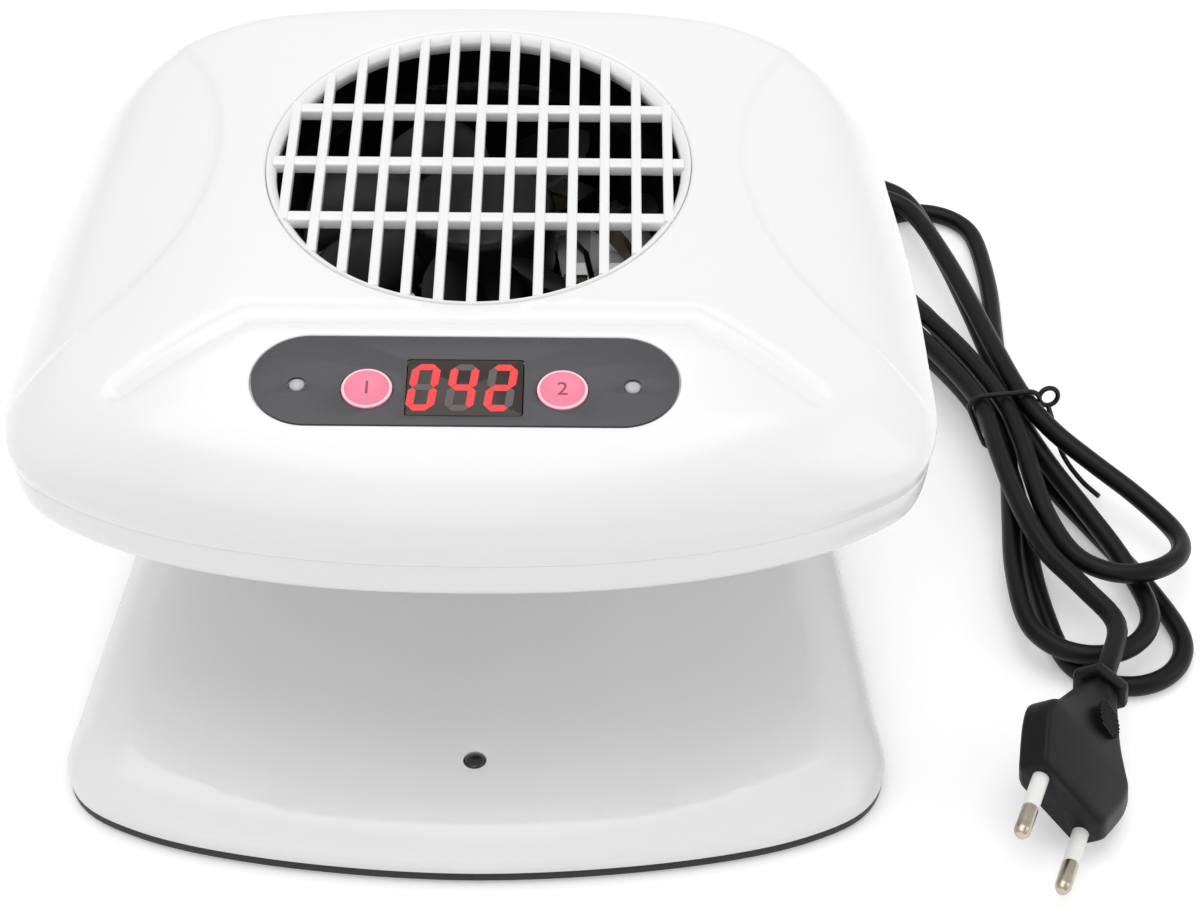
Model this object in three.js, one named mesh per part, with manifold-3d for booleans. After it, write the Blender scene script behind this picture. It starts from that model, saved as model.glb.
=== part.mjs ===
// A table-top nail dryer. A fan in the head draws air in through a round grille and blows it down,
// past a heating wire, on a hand that rests in the dish of the base. Two buttons and a display sit
// in a label on the sloping front. The mains cord lies beside the dryer in a tied hank.
// Millimetres, +X to the right, +Y to the back, +Z up. The origin lies on the table, under the
// middle of the dryer without its cord.
import * as THREE from 'three';
import { mergeVertices } from 'three/addons/utils/BufferGeometryUtils.js';
import Module from 'manifold-3d';

const wasm = await Module();
wasm.setup();

// Shared by all pieces
const gap = 0.3;
const overrun = 2;
const weldDistance = 0.0001;
const wall = 2.2;
const roundSegments = 20;
const smallSegments = 10;
const ringSegments = 32;
const screwSegments = 10;
const slotEndSegments = 4;

// Head: outline in plan, dome and edges
const headHalfWidth = 102.6;
const headFront = -84;
const headRear = 95.5;
const headOutlineShares = [
  [0, -1], [0.341, -0.98], [0.634, -0.905], [0.838, -0.8], [0.955, -0.688], [1, -0.532], [0.989, -0.287],
  [0.955, 0.07], [0.916, 0.404], [0.882, 0.627], [0.828, 0.772], [0.702, 0.889], [0.439, 0.967], [0, 1],
];
const headSegments = 56;
const grilleHeight = 121.5;
const headDepth = 42.5;
const headBottom = grilleHeight - headDepth;
const trayDepth = 9.9;
const partingHeight = headBottom + trayDepth;
const partingTuck = 0.8;
const widestRise = 4.1;
const widestHeight = partingHeight + widestRise;
const edgeRun = 19;
const edgeSteps = 4;
const crownShares = [0.35, 0.7];
const lipRun = 3;
const lipSteps = 3;
const shoulderWidth = 52.6;
const flatHalfWidth = headHalfWidth - shoulderWidth;
const crownDrop = 13;

// Sunk side panels and the channel in front of the grille
const sidePanelRadius = 75;
const sidePanelOverhang = 34.9;
const sidePanelX = headHalfWidth + sidePanelOverhang;
const sidePanelY = 27;
const sidePanelSink = 0.9;
const channelWidth = 6.4;
const channelSink = 0.5;
const channelY = -32.7;
const channelHalfRun = 49;
const channelEndInset = 26.1;
const channelEndX = headHalfWidth - channelEndInset;
const channelEndY = -53;

// Inlet grille
const grilleY = 22.1;
const grilleTilt = THREE.MathUtils.degToRad(4.2);
const inletRadius = 50.5;
const ringWidth = 2.4;
const ringDish = 2;
const ringDepth = 4.5;
const ledgeWidth = 2.3;
const ledgeThickness = 1.8;
const barCount = 13;
const barPitch = 7.47;
const barWidth = 2.1;
const barDepth = 3;
const crossBarPitch = 20;
const crossBarWidth = 2.6;
const crossBarSink = 1.2;

// Control panel
const panelKneeY = -33;
const panelTilt = THREE.MathUtils.degToRad(9.5);
const panelX = -0.4;
const panelY = -51.1;
const labelLength = 93.9;
const labelWidth = 24.6;
const labelThickness = 0.5;
const buttonRowY = -2.6;
const windowRowY = -2;
const lampRowY = -1.4;
const windowLength = 25;
const windowWidth = 15.7;
const windowThickness = 1.2;
const buttonX = 21.4;
const buttonDiameter = 11.2;
const buttonProud = 0.4;
const buttonFlange = 1.4;
const buttonFlangeThickness = 1.2;
const buttonStemDiameter = 3.2;
const buttonTravel = 0.7;
const lampX = 36.8;
const lampDiameter = 3.5;
const lampProud = 0.3;
const boardDepth = 9.2;
const boardLength = 92;
const boardWidth = 22;
const boardThickness = 1.6;
const boardBossX = 43.2;
const boardBossY = 7.2;
const boardScrewLength = 5;
const switchSize = 6.2;
const switchHeight = 3.6;
const switchBoreDepth = 2.2;

// Fan
const fanSize = 92;
const fanCornerRadius = 5;
const fanSink = 11;
const fanTop = grilleHeight - fanSink;
const fanThickness = 22;
const fanFlangeThickness = 3.5;
const fanBoreRadius = 44.3;
const fanDuctWall = 1.7;
const fanHolePitch = 82.5;
const fanHoleRadius = 2.2;
const fanStrutCount = 4;
const fanStrutWidth = 4;
const motorSeatRadius = 19;
const motorSeatThickness = 2;
const bearingRadius = 3.6;
const shaftRadius = 1.5;
const hubRadius = 18;
const hubWall = 1.8;
const hubTopSink = 1;
const bladeCount = 7;
const bladeTipClearance = 1.3;
const bladeThickness = 1.5;
const bladeChord = 25;
const bladeRootPitch = THREE.MathUtils.degToRad(42);
const bladeTipPitch = THREE.MathUtils.degToRad(27);
const bladeSweep = THREE.MathUtils.degToRad(16);
const bladeCamber = 1.8;
const statorRadius = 14;
const statorPoleCount = 4;

// Heater under the fan
const heaterRadius = 39;
const heaterWall = 1.4;
const heaterHeight = 5.4;
const micaThickness = 1.2;
const heatingWireRadius = 0.8;
const heatingInnerRadius = 11;
const heatingSpacing = 8;
const heatingTurns = 3;
const heatingStepsPerTurn = 16;
const cutoutLength = 10;
const cutoutWidth = 4.2;
const cutoutRadius = 28;

// Air outlet in the underside
const outletRadius = 38;
const outletSlotCount = 9;
const outletSlotPitch = 8;
const outletSlotWidth = 4.8;
const wireHoleHalfWidth = 30;
const wireHoleFront = 70;
const wireHoleRear = 82;

// Screws
const screwShankRadius = 1.7;
const screwHeadRadius = 3.2;
const screwHeadHeight = 1.8;
const screwRecess = 1.2;
const driveLength = 4;
const driveWidth = 0.9;
const driveDepth = 0.9;
const bossWall = 2.2;
const headScrewInset = 22.6;
const headScrewX = headHalfWidth - headScrewInset;
const headScrewFrontY = -44;
const headScrewRearY = 60;
const headPillarHeight = 4.5;
const headScrewLength = 14;

// Base and column
const baseHalfWidth = 97;
const baseFront = -95.5;
const baseRear = 93;
const baseOutlineShares = [
  [0, -1], [0.515, -0.952], [0.804, -0.873], [0.948, -0.783], [1, -0.666], [0.985, -0.464],
  [0.938, 0.013], [0.887, 0.49], [0.845, 0.777], [0.722, 0.926], [0.464, 0.984], [0, 1],
];
const baseSegments = 52;
const shellBottom = 3.5;
const rimHeight = 14.5;
const apronRun = 7.5;
const apronSteps = 3;
const rimBand = 8.5;
const dishSink = 2.2;
const sweepStartY = -4;
const sweepRadius = 40;
const columnSideInset = 24;
const columnHalfWidth = baseHalfWidth - columnSideInset;
const columnFlare = 8.5;
const columnFront = -14;
const columnRear = 86;
const columnRearFlare = 3.5;
const columnWaistShare = 0.5;
const columnOutlineShares = [
  [0, -1], [0.6, -1], [0.9, -0.93], [1, -0.7], [1, 0.25], [0.96, 0.66], [0.83, 0.88], [0.5, 0.98], [0, 1],
];
const columnSegments = 36;
const columnSteps = 4;
const seamY = 46;

// Base plate, feet and base screws
const plateBottom = 1;
const plateThickness = 2.2;
const plateInset = 0.5;
const plateRibHeight = 3;
const plateRibWidth = 1.6;
const footRadius = 7;
const footPocket = 0.8;
const footInset = 23;
const footX = baseHalfWidth - footInset;
const footFrontY = -66;
const footRearY = 70;
const baseScrewHeadHeight = 1.2;
const baseScrewLength = 6;
const frontBaseScrew = [52, -70];
const rearBaseScrewShares = [0.598, 0.8675];

// Hand sensor in the dish
const sensorY = -70;
const sensorRadius = 2.5;
const sensorFlange = 1;
const sensorFlangeThickness = 1;
const sensorProud = 0.5;
const sensorBoardLength = 14;
const sensorBoardWidth = 10;
const sensorBoardThickness = 1.2;
const sensorPegHeight = 1.6;
const sensorPegRadius = 1.4;

// Power board in the column
const powerBoardY = 63;
const powerBoardLength = 96;
const powerBoardWidth = 30;
const powerPegHeight = 4;
const powerPegRadius = 3;
const powerPegX = 42;
const powerPegY = 10.5;
const transformerX = -22;
const transformerLength = 34;
const transformerWidth = 26;
const transformerHeight = 28;
const transformerCoilMargin = 5;
const capacitorX = 8;
const capacitorRadius = 6;
const capacitorHeight = 18;
const relayX = 28;
const relayLength = 15;
const relayWidth = 18;
const relayHeight = 15;

// Cord: gland, route and hank
const cordDiameter = 5.2;
const cordSides = 8;
const wallBossRadius = 8;
const wallBossRear = 92.5;
const exitX = 45;
const exitHeight = 16;
const glandRadius = 4.6;
const glandFlangeRadius = 6.6;
const glandFlangeThickness = 1.6;
const reliefLength = 26;
const reliefEndRadius = 3.4;
const reliefRibCount = 5;
const floorLift = 0.15;
const leadPoints = [
  [45, 127, 15.8], [46, 134.5, 14], [49.4, 142.5, 10.6], [56, 148.7, 6.8], [64.5, 151.6, 3.9], [73.5, 150.6, 2.85],
  [81.6, 146.4, 2.75], [88.3, 139.7, 2.75], [94.4, 131.8, 2.75],
];
const hankStart = [98.4, 127.4, 2.75];
const hankStartHeading = [0.63, -0.777];
const tiePlace = [141.6, 57.7];
const hankAxis = THREE.MathUtils.degToRad(-81.2);
const hankSides = 6;
const foldRadius = 16;
const foldSteps = 8;
const runSteps = 4;
const climbShare = 0.62;
const layerPitch = 5.85;
const tieLift = 2.5;
const waistSlots = [[-3.8, 2.3], [-3.8, 2.3], [-2.3, 3.8]];
const tailSlot = -8.6;
const slotLeanShare = 0.6;
const nearFolds = [[78.8, 8.5], [72.5, 0.9], [51, 15.4]];
const farFolds = [[-91.5, -2.2], [-100, -19.2], [-86.7, -21.2]];
const nearDroop = [0, 0, 4.5];
const tailPoints = [[18, -8.9, 2.2], [36, -8.6, 1.4], [55, -6.2, 0.4], [70, 0, 0], [84, 4.4, 0.2]];
const tieWireRadius = 0.7;
const tieSides = 6;
const tieSteps = 20;
const tieEyeStep = 1;
const tieEyeRadius = 2.6;
const tieTailPoints = [[0, 0, 2.6], [0.6, 6, 5.6], [1.4, 13, 9.6], [4.6, 21, 12.4], [8, 27, 13.4]];

// Plug
const plugFace = [137.3, -86.5, 16.4];
const plugYaw = THREE.MathUtils.degToRad(20.5);
const plugRoll = THREE.MathUtils.degToRad(52.8);
const plugHalfWidth = 17.6;
const plugHalfThickness = 6.85;
const plugLength = 44;
const plugNeckRadius = 4.3;
const plugBodyShares = [
  [0, 0.72, 0.86], [0.03, 0.78, 1], [0.3, 1, 1], [0.4, 1, 1], [0.72, 0.42, 0.78], [0.86, 0.27, 0.66], [0.89, 0.27, 0.66],
];
const plugFlangeShares = [[0.89, 0.38, 0.98], [0.955, 0.38, 0.98]];
const pinLength = 19;
const pinRadius = 2;
const pinCoreRadius = 1.3;
const pinHalfSpacing = 9.3;
const pinSleeveLength = 10;
const pinRoot = 6;

// Materials
const whiteGloss = { color: 0xf1f1ef, roughness: 0.25, metalness: 0 };
const blackPlastic = { color: 0x141414, roughness: 0.5, metalness: 0 };
const blackGloss = { color: 0x171312, roughness: 0.12, metalness: 0 };
const blackRubber = { color: 0x101010, roughness: 0.85, metalness: 0 };
const labelGrey = { color: 0x5d5d60, roughness: 0.45, metalness: 0 };
const buttonPink = { color: 0xf07f9c, roughness: 0.35, metalness: 0 };
const lampClear = { color: 0x9a9a98, roughness: 0.2, metalness: 0 };
const displayBrown = { color: 0x3a3230, roughness: 0.5, metalness: 0 };
const boardGreen = { color: 0x2f6b3c, roughness: 0.5, metalness: 0 };
const steel = { color: 0xc9c9cc, roughness: 0.3, metalness: 0.9 };
const coreSteel = { color: 0x6f6a58, roughness: 0.5, metalness: 0.4 };
const mica = { color: 0xb9a88a, roughness: 0.7, metalness: 0 };
const capacitorBlue = { color: 0x23264a, roughness: 0.4, metalness: 0 };
const relayBlue = { color: 0x2a5ea8, roughness: 0.4, metalness: 0 };
const sleeveWhite = { color: 0xe8e8e6, roughness: 0.4, metalness: 0 };

// Helpers

function signedVolume(position, index) {
  const a = new THREE.Vector3();
  const b = new THREE.Vector3();
  const c = new THREE.Vector3();
  let volume = 0;
  for (let i = 0; i < index.length; i += 3) {
    a.fromArray(position, index[i] * 3);
    b.fromArray(position, index[i + 1] * 3);
    c.fromArray(position, index[i + 2] * 3);
    volume += a.dot(b.cross(c)) / 6;
  }
  return volume;
}

// Welds a closed geometry, drops its empty triangles and turns its faces out.
function solid(geometry) {
  const bare = new THREE.BufferGeometry();
  bare.setAttribute('position', geometry.getAttribute('position').clone());
  bare.setIndex(geometry.index ? geometry.index.clone() : null);
  const welded = mergeVertices(bare, weldDistance);
  const position = welded.getAttribute('position').array;
  const index = [];
  for (let i = 0; i < welded.index.count; i += 3) {
    const [a, b, c] = [0, 1, 2].map((corner) => welded.index.getX(i + corner));
    if (a !== b && b !== c && c !== a) index.push(a, b, c);
  }
  if (signedVolume(position, index) < 0) index.reverse();
  const mesh = new wasm.Mesh({
    numProp: 3,
    vertProperties: Float32Array.from(position),
    triVerts: Uint32Array.from(index),
  });
  return new wasm.Manifold(mesh);
}

function geometryOf(body) {
  const mesh = body.getMesh();
  const geometry = new THREE.BufferGeometry();
  geometry.setAttribute('position', new THREE.BufferAttribute(Float32Array.from(mesh.vertProperties), 3));
  geometry.setIndex(new THREE.BufferAttribute(Uint32Array.from(mesh.triVerts), 1));
  return geometry;
}

function joined(bodies) {
  return bodies.reduce((whole, body) => whole.add(body));
}

function cutFrom(body, cutters) {
  return cutters.reduce((rest, cutter) => rest.subtract(cutter), body);
}

// A closed body through rings of points: capped at both ends, or closed on itself as a ring is.
function loft(rings, capped = true) {
  const count = rings[0].length;
  const points = rings.flat();
  const faces = [];
  const spans = capped ? rings.length - 1 : rings.length;
  for (let r = 0; r < spans; r++) {
    const lower = r * count;
    const upper = ((r + 1) % rings.length) * count;
    for (let i = 0; i < count; i++) {
      const next = (i + 1) % count;
      faces.push(lower + i, lower + next, upper + next, lower + i, upper + next, upper + i);
    }
  }
  if (capped) {
    const last = (rings.length - 1) * count;
    const middles = [rings[0], rings[rings.length - 1]].map((ring) => (
      [0, 1, 2].map((axis) => ring.reduce((sum, point) => sum + point[axis], 0) / count)
    ));
    points.push(...middles);
    for (let i = 0; i < count; i++) {
      const next = (i + 1) % count;
      faces.push(points.length - 2, next, i, points.length - 1, last + i, last + next);
    }
  }
  const geometry = new THREE.BufferGeometry();
  geometry.setAttribute('position', new THREE.Float32BufferAttribute(points.flat(), 3));
  geometry.setIndex(faces);
  return solid(geometry);
}

function prism(shape, low, high, curveSegments = smallSegments) {
  const geometry = new THREE.ExtrudeGeometry(shape, {
    depth: high - low, bevelEnabled: false, curveSegments,
  });
  return solid(geometry.translate(0, 0, low));
}

// A round body about the line through x, y, from its profile of radius and height.
function turned(profile, x = 0, y = 0, segments = roundSegments) {
  const points = profile.map(([radius, height]) => new THREE.Vector2(radius, height));
  return solid(new THREE.LatheGeometry(points, segments).rotateX(Math.PI / 2).translate(x, y, 0));
}

function rod(radius, low, high, x = 0, y = 0, segments = roundSegments) {
  return turned([[0, low], [radius, low], [radius, high], [0, high]], x, y, segments);
}

function block(length, width, low, high, x = 0, y = 0) {
  return solid(new THREE.BoxGeometry(length, width, high - low).translate(x, y, (low + high) / 2));
}

function moved(body, matrix) {
  return solid(geometryOf(body).applyMatrix4(matrix));
}

function slotShape(length, width) {
  const shape = new THREE.Shape();
  const half = (length - width) / 2;
  shape.absarc(half, 0, width / 2, -Math.PI / 2, Math.PI / 2, false);
  shape.absarc(-half, 0, width / 2, Math.PI / 2, Math.PI * 1.5, false);
  return shape;
}

function roundedSquare(size, radius) {
  const shape = new THREE.Shape();
  const half = size / 2 - radius;
  for (let corner = 0; corner < 4; corner++) {
    const start = corner * Math.PI / 2;
    const x = half * (corner === 0 || corner === 3 ? 1 : -1);
    const y = half * (corner < 2 ? 1 : -1);
    shape.absarc(x, y, radius, start, start + Math.PI / 2, false);
  }
  return shape;
}

// A smooth closed outline through mirrored points, given as shares of half the width and depth.
function outlineOf(shares, halfWidth, front, rear, count) {
  const middle = (front + rear) / 2;
  const right = shares.map(([x, y]) => new THREE.Vector3(x * halfWidth, middle + y * (rear - front) / 2, 0));
  const left = right.slice(1, -1).reverse().map((point) => new THREE.Vector3(-point.x, point.y, 0));
  const curve = new THREE.CatmullRomCurve3([...right, ...left], true, 'centripetal');
  return curve.getSpacedPoints(count).slice(0, count).map((point) => [point.x, point.y]);
}

function insetOutline(outline, distance) {
  return outline.map(([x, y], i) => {
    const before = outline[(i + outline.length - 1) % outline.length];
    const after = outline[(i + 1) % outline.length];
    const run = [after[0] - before[0], after[1] - before[1]];
    const length = Math.hypot(...run);
    return [x - run[1] / length * distance, y + run[0] / length * distance];
  });
}

function level(outline, height) {
  return outline.map(([x, y]) => [x, y, height]);
}

function shapeOf(outline) {
  return new THREE.Shape(outline.map(([x, y]) => new THREE.Vector2(x, y)));
}

// A tube of flat-sided section along a list of points, with its ends square to its path.
function tube(path, radius, sides) {
  const points = path.map((point) => new THREE.Vector3(...point));
  const up = new THREE.Vector3(0, 0, 1);
  const rings = points.map((point, i) => {
    const before = points[Math.max(i - 1, 0)];
    const after = points[Math.min(i + 1, points.length - 1)];
    const forward = after.clone().sub(before).normalize();
    const across = forward.clone().cross(up).normalize();
    const over = across.clone().cross(forward);
    return Array.from({ length: sides }, (_, side) => {
      const angle = (side + 0.5) / sides * Math.PI * 2;
      const spot = point.clone();
      spot.addScaledVector(across, Math.cos(angle) * radius);
      spot.addScaledVector(over, Math.sin(angle) * radius);
      return spot.toArray();
    });
  });
  return loft(rings);
}

const product = new THREE.Group();

function piece(name, body, look, parent = product, place = [0, 0, 0]) {
  const mesh = new THREE.Mesh(geometryOf(body), new THREE.MeshStandardMaterial(look));
  mesh.name = name;
  mesh.position.set(...place);
  parent.add(mesh);
}

// Copies of one piece, numbered from 1
function copies(name, body, look, places, parent = product) {
  places.forEach((place, i) => piece(`${name}_${i + 1}`, body, look, parent, place));
}

// A pan-head screw that points up from its head, with a driver slot in the head
function screw(headHeight, length) {
  const profile = [
    [0, 0], [screwHeadRadius, headHeight * 0.3], [screwHeadRadius, headHeight],
    [screwShankRadius, headHeight],
    [screwShankRadius, headHeight + length], [0, headHeight + length],
  ];
  const slot = block(driveLength, driveWidth, -overrun, driveDepth);
  return turned(profile, 0, 0, screwSegments).subtract(slot);
}

// Head: the dome's height at a place in plan, and rings that run in from the head's outline

const slopeAtGrille = Math.tan(grilleTilt);
const slopeAtPanel = Math.tan(panelTilt);
const kneeHeight = grilleHeight + (panelKneeY - grilleY) * slopeAtGrille;

function domeHeight(x, y) {
  const atGrille = grilleHeight + (y - grilleY) * slopeAtGrille;
  const atPanel = kneeHeight + (y - panelKneeY) * slopeAtPanel;
  const spread = Math.max(0, Math.abs(x) - flatHalfWidth) / (headHalfWidth - flatHalfWidth);
  return Math.min(atGrille, atPanel) - crownDrop * spread * spread;
}

const headOutline = outlineOf(headOutlineShares, headHalfWidth, headFront, headRear, headSegments);
const towardInlet = headOutline.map(([x, y]) => {
  const reach = Math.hypot(x, grilleY - y);
  return [-x / reach, (grilleY - y) / reach];
});

function headRing(distance, heightAt) {
  return headOutline.map(([x, y], i) => {
    const inX = x + towardInlet[i][0] * distance;
    const inY = y + towardInlet[i][1] * distance;
    return [inX, inY, heightAt(inX, inY)];
  });
}

function inletRing(radius, depth) {
  return towardInlet.map(([x, y]) => [
    -x * radius,
    grilleY - y * radius * Math.cos(grilleTilt) + depth * Math.sin(grilleTilt),
    grilleHeight - y * radius * Math.sin(grilleTilt) - depth * Math.cos(grilleTilt),
  ]);
}

const coverBottom = partingHeight + gap / 2;

function coverSkin(inset, sink) {
  const rings = [headRing(inset + partingTuck, () => coverBottom)];
  for (let step = 0; step <= edgeSteps; step++) {
    const angle = step / edgeSteps * Math.PI / 2;
    const distance = inset + (edgeRun - inset) * (1 - Math.cos(angle));
    rings.push(headRing(distance, (x, y) => (
      widestHeight + (domeHeight(x, y) - sink - widestHeight) * Math.sin(angle)
    )));
  }
  return rings;
}

// Rings on the dome between its rounded edge and the inlet
function crownRings(edge, sink) {
  const rim = inletRing(inletRadius, sink);
  return crownShares.map((share) => edge.map((point, i) => {
    const x = THREE.MathUtils.lerp(point[0], rim[i][0], share);
    const y = THREE.MathUtils.lerp(point[1], rim[i][1], share);
    return [x, y, domeHeight(x, y) - sink];
  }));
}

// The head's outer form, sunk evenly by a little, as a body to cut against
function sunkDome(sink) {
  const skin = coverSkin(-gap / 4, sink);
  return loft([...skin, ...crownRings(skin[skin.length - 1], sink), inletRing(inletRadius, sink)]);
}

// Panel frame: +Z out of the label, +Y up its slope

const panelHeight = domeHeight(0, panelY);
const panelMatrix = new THREE.Matrix4().makeRotationX(panelTilt).setPosition(panelX, panelY, panelHeight);
const panel = new THREE.Group();
panel.position.set(panelX, panelY, panelHeight);
panel.rotation.x = panelTilt;
product.add(panel);

const recessDepth = labelThickness + gap;
const boardTop = -boardDepth;
const boardBosses = [[-boardBossX, boardBossY], [boardBossX, boardBossY]];
const headScrews = [
  [-headScrewX, headScrewFrontY], [headScrewX, headScrewFrontY],
  [-headScrewX, headScrewRearY], [headScrewX, headScrewRearY],
];
const pillarTop = headBottom + wall + headPillarHeight;
const bossRadius = screwShankRadius + gap + bossWall;

function topCover() {
  const outer = coverSkin(0, 0);
  const inner = coverSkin(wall, wall);
  const ledgeRadius = inletRadius - ledgeWidth;
  const seatDepth = ringDepth + gap;
  const ledgeDepth = seatDepth + ledgeThickness;
  const shell = loft([
    ...outer, ...crownRings(outer[outer.length - 1], 0), inletRing(inletRadius, 0),
    inletRing(inletRadius, seatDepth), inletRing(ledgeRadius, seatDepth),
    inletRing(ledgeRadius, ledgeDepth), inletRing(inletRadius + wall, ledgeDepth),
    inletRing(inletRadius + wall, wall), ...inner.reverse(),
  ], false);

  const sidePanels = [-1, 1].map((side) => (
    rod(sidePanelRadius, widestHeight, grilleHeight + edgeRun, side * sidePanelX, sidePanelY, ringSegments)
      .subtract(sunkDome(sidePanelSink))
  ));
  const channel = prism(channelShape(), widestHeight, grilleHeight + edgeRun)
    .subtract(sunkDome(channelSink));

  const panelCutters = [
    prism(slotShape(labelLength, labelWidth), -recessDepth, edgeRun),
    block(windowLength + 2 * gap, windowWidth + 2 * gap, -wall * 2, edgeRun, 0, windowRowY),
    ...[-1, 1].flatMap((side) => [
      rod(buttonDiameter / 2 + gap, -wall * 2, edgeRun, side * buttonX, buttonRowY),
      rod(lampDiameter / 2 + gap, -wall * 2, edgeRun, side * lampX, lampRowY, smallSegments),
    ]),
  ].map((cutter) => moved(cutter, panelMatrix));

  const boardPosts = boardBosses.map(([x, y]) => (
    rod(screwShankRadius + bossWall, boardTop + gap, -wall * 0.7, x, y, smallSegments)
  ));
  const boardBores = boardBosses.map(([x, y]) => (
    rod(screwShankRadius + gap, boardTop - overrun, boardTop + gap + screwRecess * 4, x, y, smallSegments)
  ));
  const screwPosts = headScrews.map(([x, y]) => (
    rod(bossRadius, pillarTop + gap, domeHeight(x, y) - edgeRun * 0.1 - wall * 0.5, x, y, smallSegments)
  ));
  const screwBores = headScrews.map(([x, y]) => (
    rod(screwShankRadius + gap, pillarTop - overrun, pillarTop + headScrewLength, x, y, smallSegments)
  ));
  const held = joined([shell, ...boardPosts.map((post) => moved(post, panelMatrix)), ...screwPosts]);
  return cutFrom(held, [
    ...sidePanels, channel, ...panelCutters,
    ...boardBores.map((bore) => moved(bore, panelMatrix)), ...screwBores,
  ]);
}

// The channel's plan: a band that runs across in front of the grille and turns out at both ends
function channelShape() {
  const half = channelWidth / 2;
  const run = new THREE.Vector2(channelEndX - channelHalfRun, channelEndY - channelY).normalize();
  const shift = half * Math.tan(Math.acos(run.x) / 2);
  const upper = [
    [channelHalfRun + shift, channelY + half],
    [channelEndX - run.y * half, channelEndY + run.x * half],
  ];
  const lower = [
    [channelEndX + run.y * half, channelEndY - run.x * half],
    [channelHalfRun - shift, channelY - half],
  ];
  const right = [...upper, ...lower];
  const left = right.map(([x, y]) => [-x, y]).reverse();
  return shapeOf([...right, ...left]);
}

piece('top_cover', topCover(), whiteGloss);

// Inlet grille: a dished ring with bars front to back, bridged by three lower cross bars
function inletGrille() {
  const outer = inletRadius - gap;
  const inner = outer - ringWidth;
  const ring = turned([
    [outer, 0], [outer, -ringDepth], [inner, -ringDepth], [inner, -ringDish], [outer, 0],
  ], 0, 0, ringSegments);
  const chordAt = (radius, offset) => 2 * Math.sqrt(radius * radius - offset * offset);
  const bars = Array.from({ length: barCount }, (_, i) => {
    const x = (i - (barCount - 1) / 2) * barPitch;
    const length = chordAt(outer - ringWidth * 0.2, Math.abs(x) + barWidth / 2);
    return block(barWidth, length, -barDepth, 0, x, 0);
  });
  const crossBars = [-1, 0, 1].map((step) => {
    const y = step * crossBarPitch;
    const length = chordAt(inner + ringWidth * 0.4, Math.abs(y) + crossBarWidth / 2);
    return block(length, crossBarWidth, -crossBarSink - barDepth, -crossBarSink, 0, y);
  });
  return joined([ring, ...bars, ...crossBars]);
}

const inlet = new THREE.Group();
inlet.position.set(0, grilleY, grilleHeight);
inlet.rotation.x = grilleTilt;
product.add(inlet);
piece('inlet_grille', inletGrille(), whiteGloss, inlet);

// Underside of the head: a tray with the air outlet, the fan posts and the screw pillars

const fanBottom = fanTop - fanThickness;
const floorTop = headBottom + wall;
const fanPlaces = [[-1, -1], [1, -1], [1, 1], [-1, 1]].map(([x, y]) => (
  [x * fanHolePitch / 2, grilleY + y * fanHolePitch / 2]
));

function headUnderside() {
  const top = partingHeight - gap / 2;
  const traySkin = (inset, bottom, ceiling) => {
    const rings = [headRing(partingTuck + inset, () => ceiling)];
    for (let step = 0; step <= lipSteps; step++) {
      const angle = step / lipSteps * Math.PI / 2;
      const distance = partingTuck + inset + (lipRun - partingTuck) * (1 - Math.cos(angle));
      rings.push(headRing(distance, () => bottom + (top - bottom) * (1 - Math.sin(angle))));
    }
    return rings;
  };
  const outer = loft(traySkin(0, headBottom, top).slice(1));
  const cavity = loft(traySkin(wall, floorTop, top + overrun));
  const pillars = headScrews.map(([x, y]) => (
    rod(bossRadius + wall, floorTop - wall / 2, pillarTop, x, y, smallSegments)
  ));
  const posts = fanPlaces.map(([x, y]) => (
    rod(screwShankRadius + gap + bossWall, floorTop - wall / 2, fanBottom - gap, x, y, smallSegments)
  ));
  const slots = Array.from({ length: outletSlotCount }, (_, i) => {
    const x = (i - (outletSlotCount - 1) / 2) * outletSlotPitch;
    const length = 2 * Math.sqrt(outletRadius * outletRadius - x * x);
    const slot = prism(slotShape(length, outletSlotWidth), headBottom - overrun, floorTop + overrun, slotEndSegments);
    const turn = new THREE.Matrix4().makeRotationZ(Math.PI / 2).setPosition(x, grilleY, 0);
    return moved(slot, turn);
  });
  const wireHole = block(
    wireHoleHalfWidth * 2, wireHoleRear - wireHoleFront, headBottom - overrun, floorTop + overrun,
    0, (wireHoleFront + wireHoleRear) / 2,
  );
  const pillarCuts = headScrews.flatMap(([x, y]) => [
    rod(screwShankRadius + gap, headBottom - overrun, pillarTop + overrun, x, y, smallSegments),
    rod(
      screwHeadRadius + gap, headBottom - overrun, headBottom + screwRecess + screwHeadHeight + gap,
      x, y, smallSegments,
    ),
  ]);
  const postBores = fanPlaces.map(([x, y]) => (
    rod(screwShankRadius + gap, floorTop, fanBottom, x, y, smallSegments)
  ));
  const tray = joined([outer.subtract(cavity), ...pillars, ...posts]);
  return cutFrom(tray, [...slots, wireHole, ...pillarCuts, ...postBores]);
}

piece('head_underside', headUnderside(), whiteGloss);
copies(
  'head_screw', screw(screwHeadHeight, headScrewLength), steel,
  headScrews.map(([x, y]) => [x, y, headBottom + screwRecess]),
);

// Label, display, buttons, lamps and their board, all in the panel's frame

function controlLabel() {
  const sheet = prism(slotShape(labelLength - 2 * gap, labelWidth - 2 * gap), -labelThickness, 0);
  return cutFrom(sheet, [
    block(windowLength + 2 * gap, windowWidth + 2 * gap, -overrun, overrun, 0, windowRowY),
    ...[-1, 1].flatMap((side) => [
      rod(buttonDiameter / 2 + gap, -overrun, overrun, side * buttonX, buttonRowY),
      rod(lampDiameter / 2 + gap, -overrun, overrun, side * lampX, lampRowY, smallSegments),
    ]),
  ]);
}

piece('control_label', controlLabel(), labelGrey, panel);
piece(
  'display_window', block(windowLength, windowWidth, -windowThickness, 0, 0, windowRowY), blackGloss, panel,
);

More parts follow.
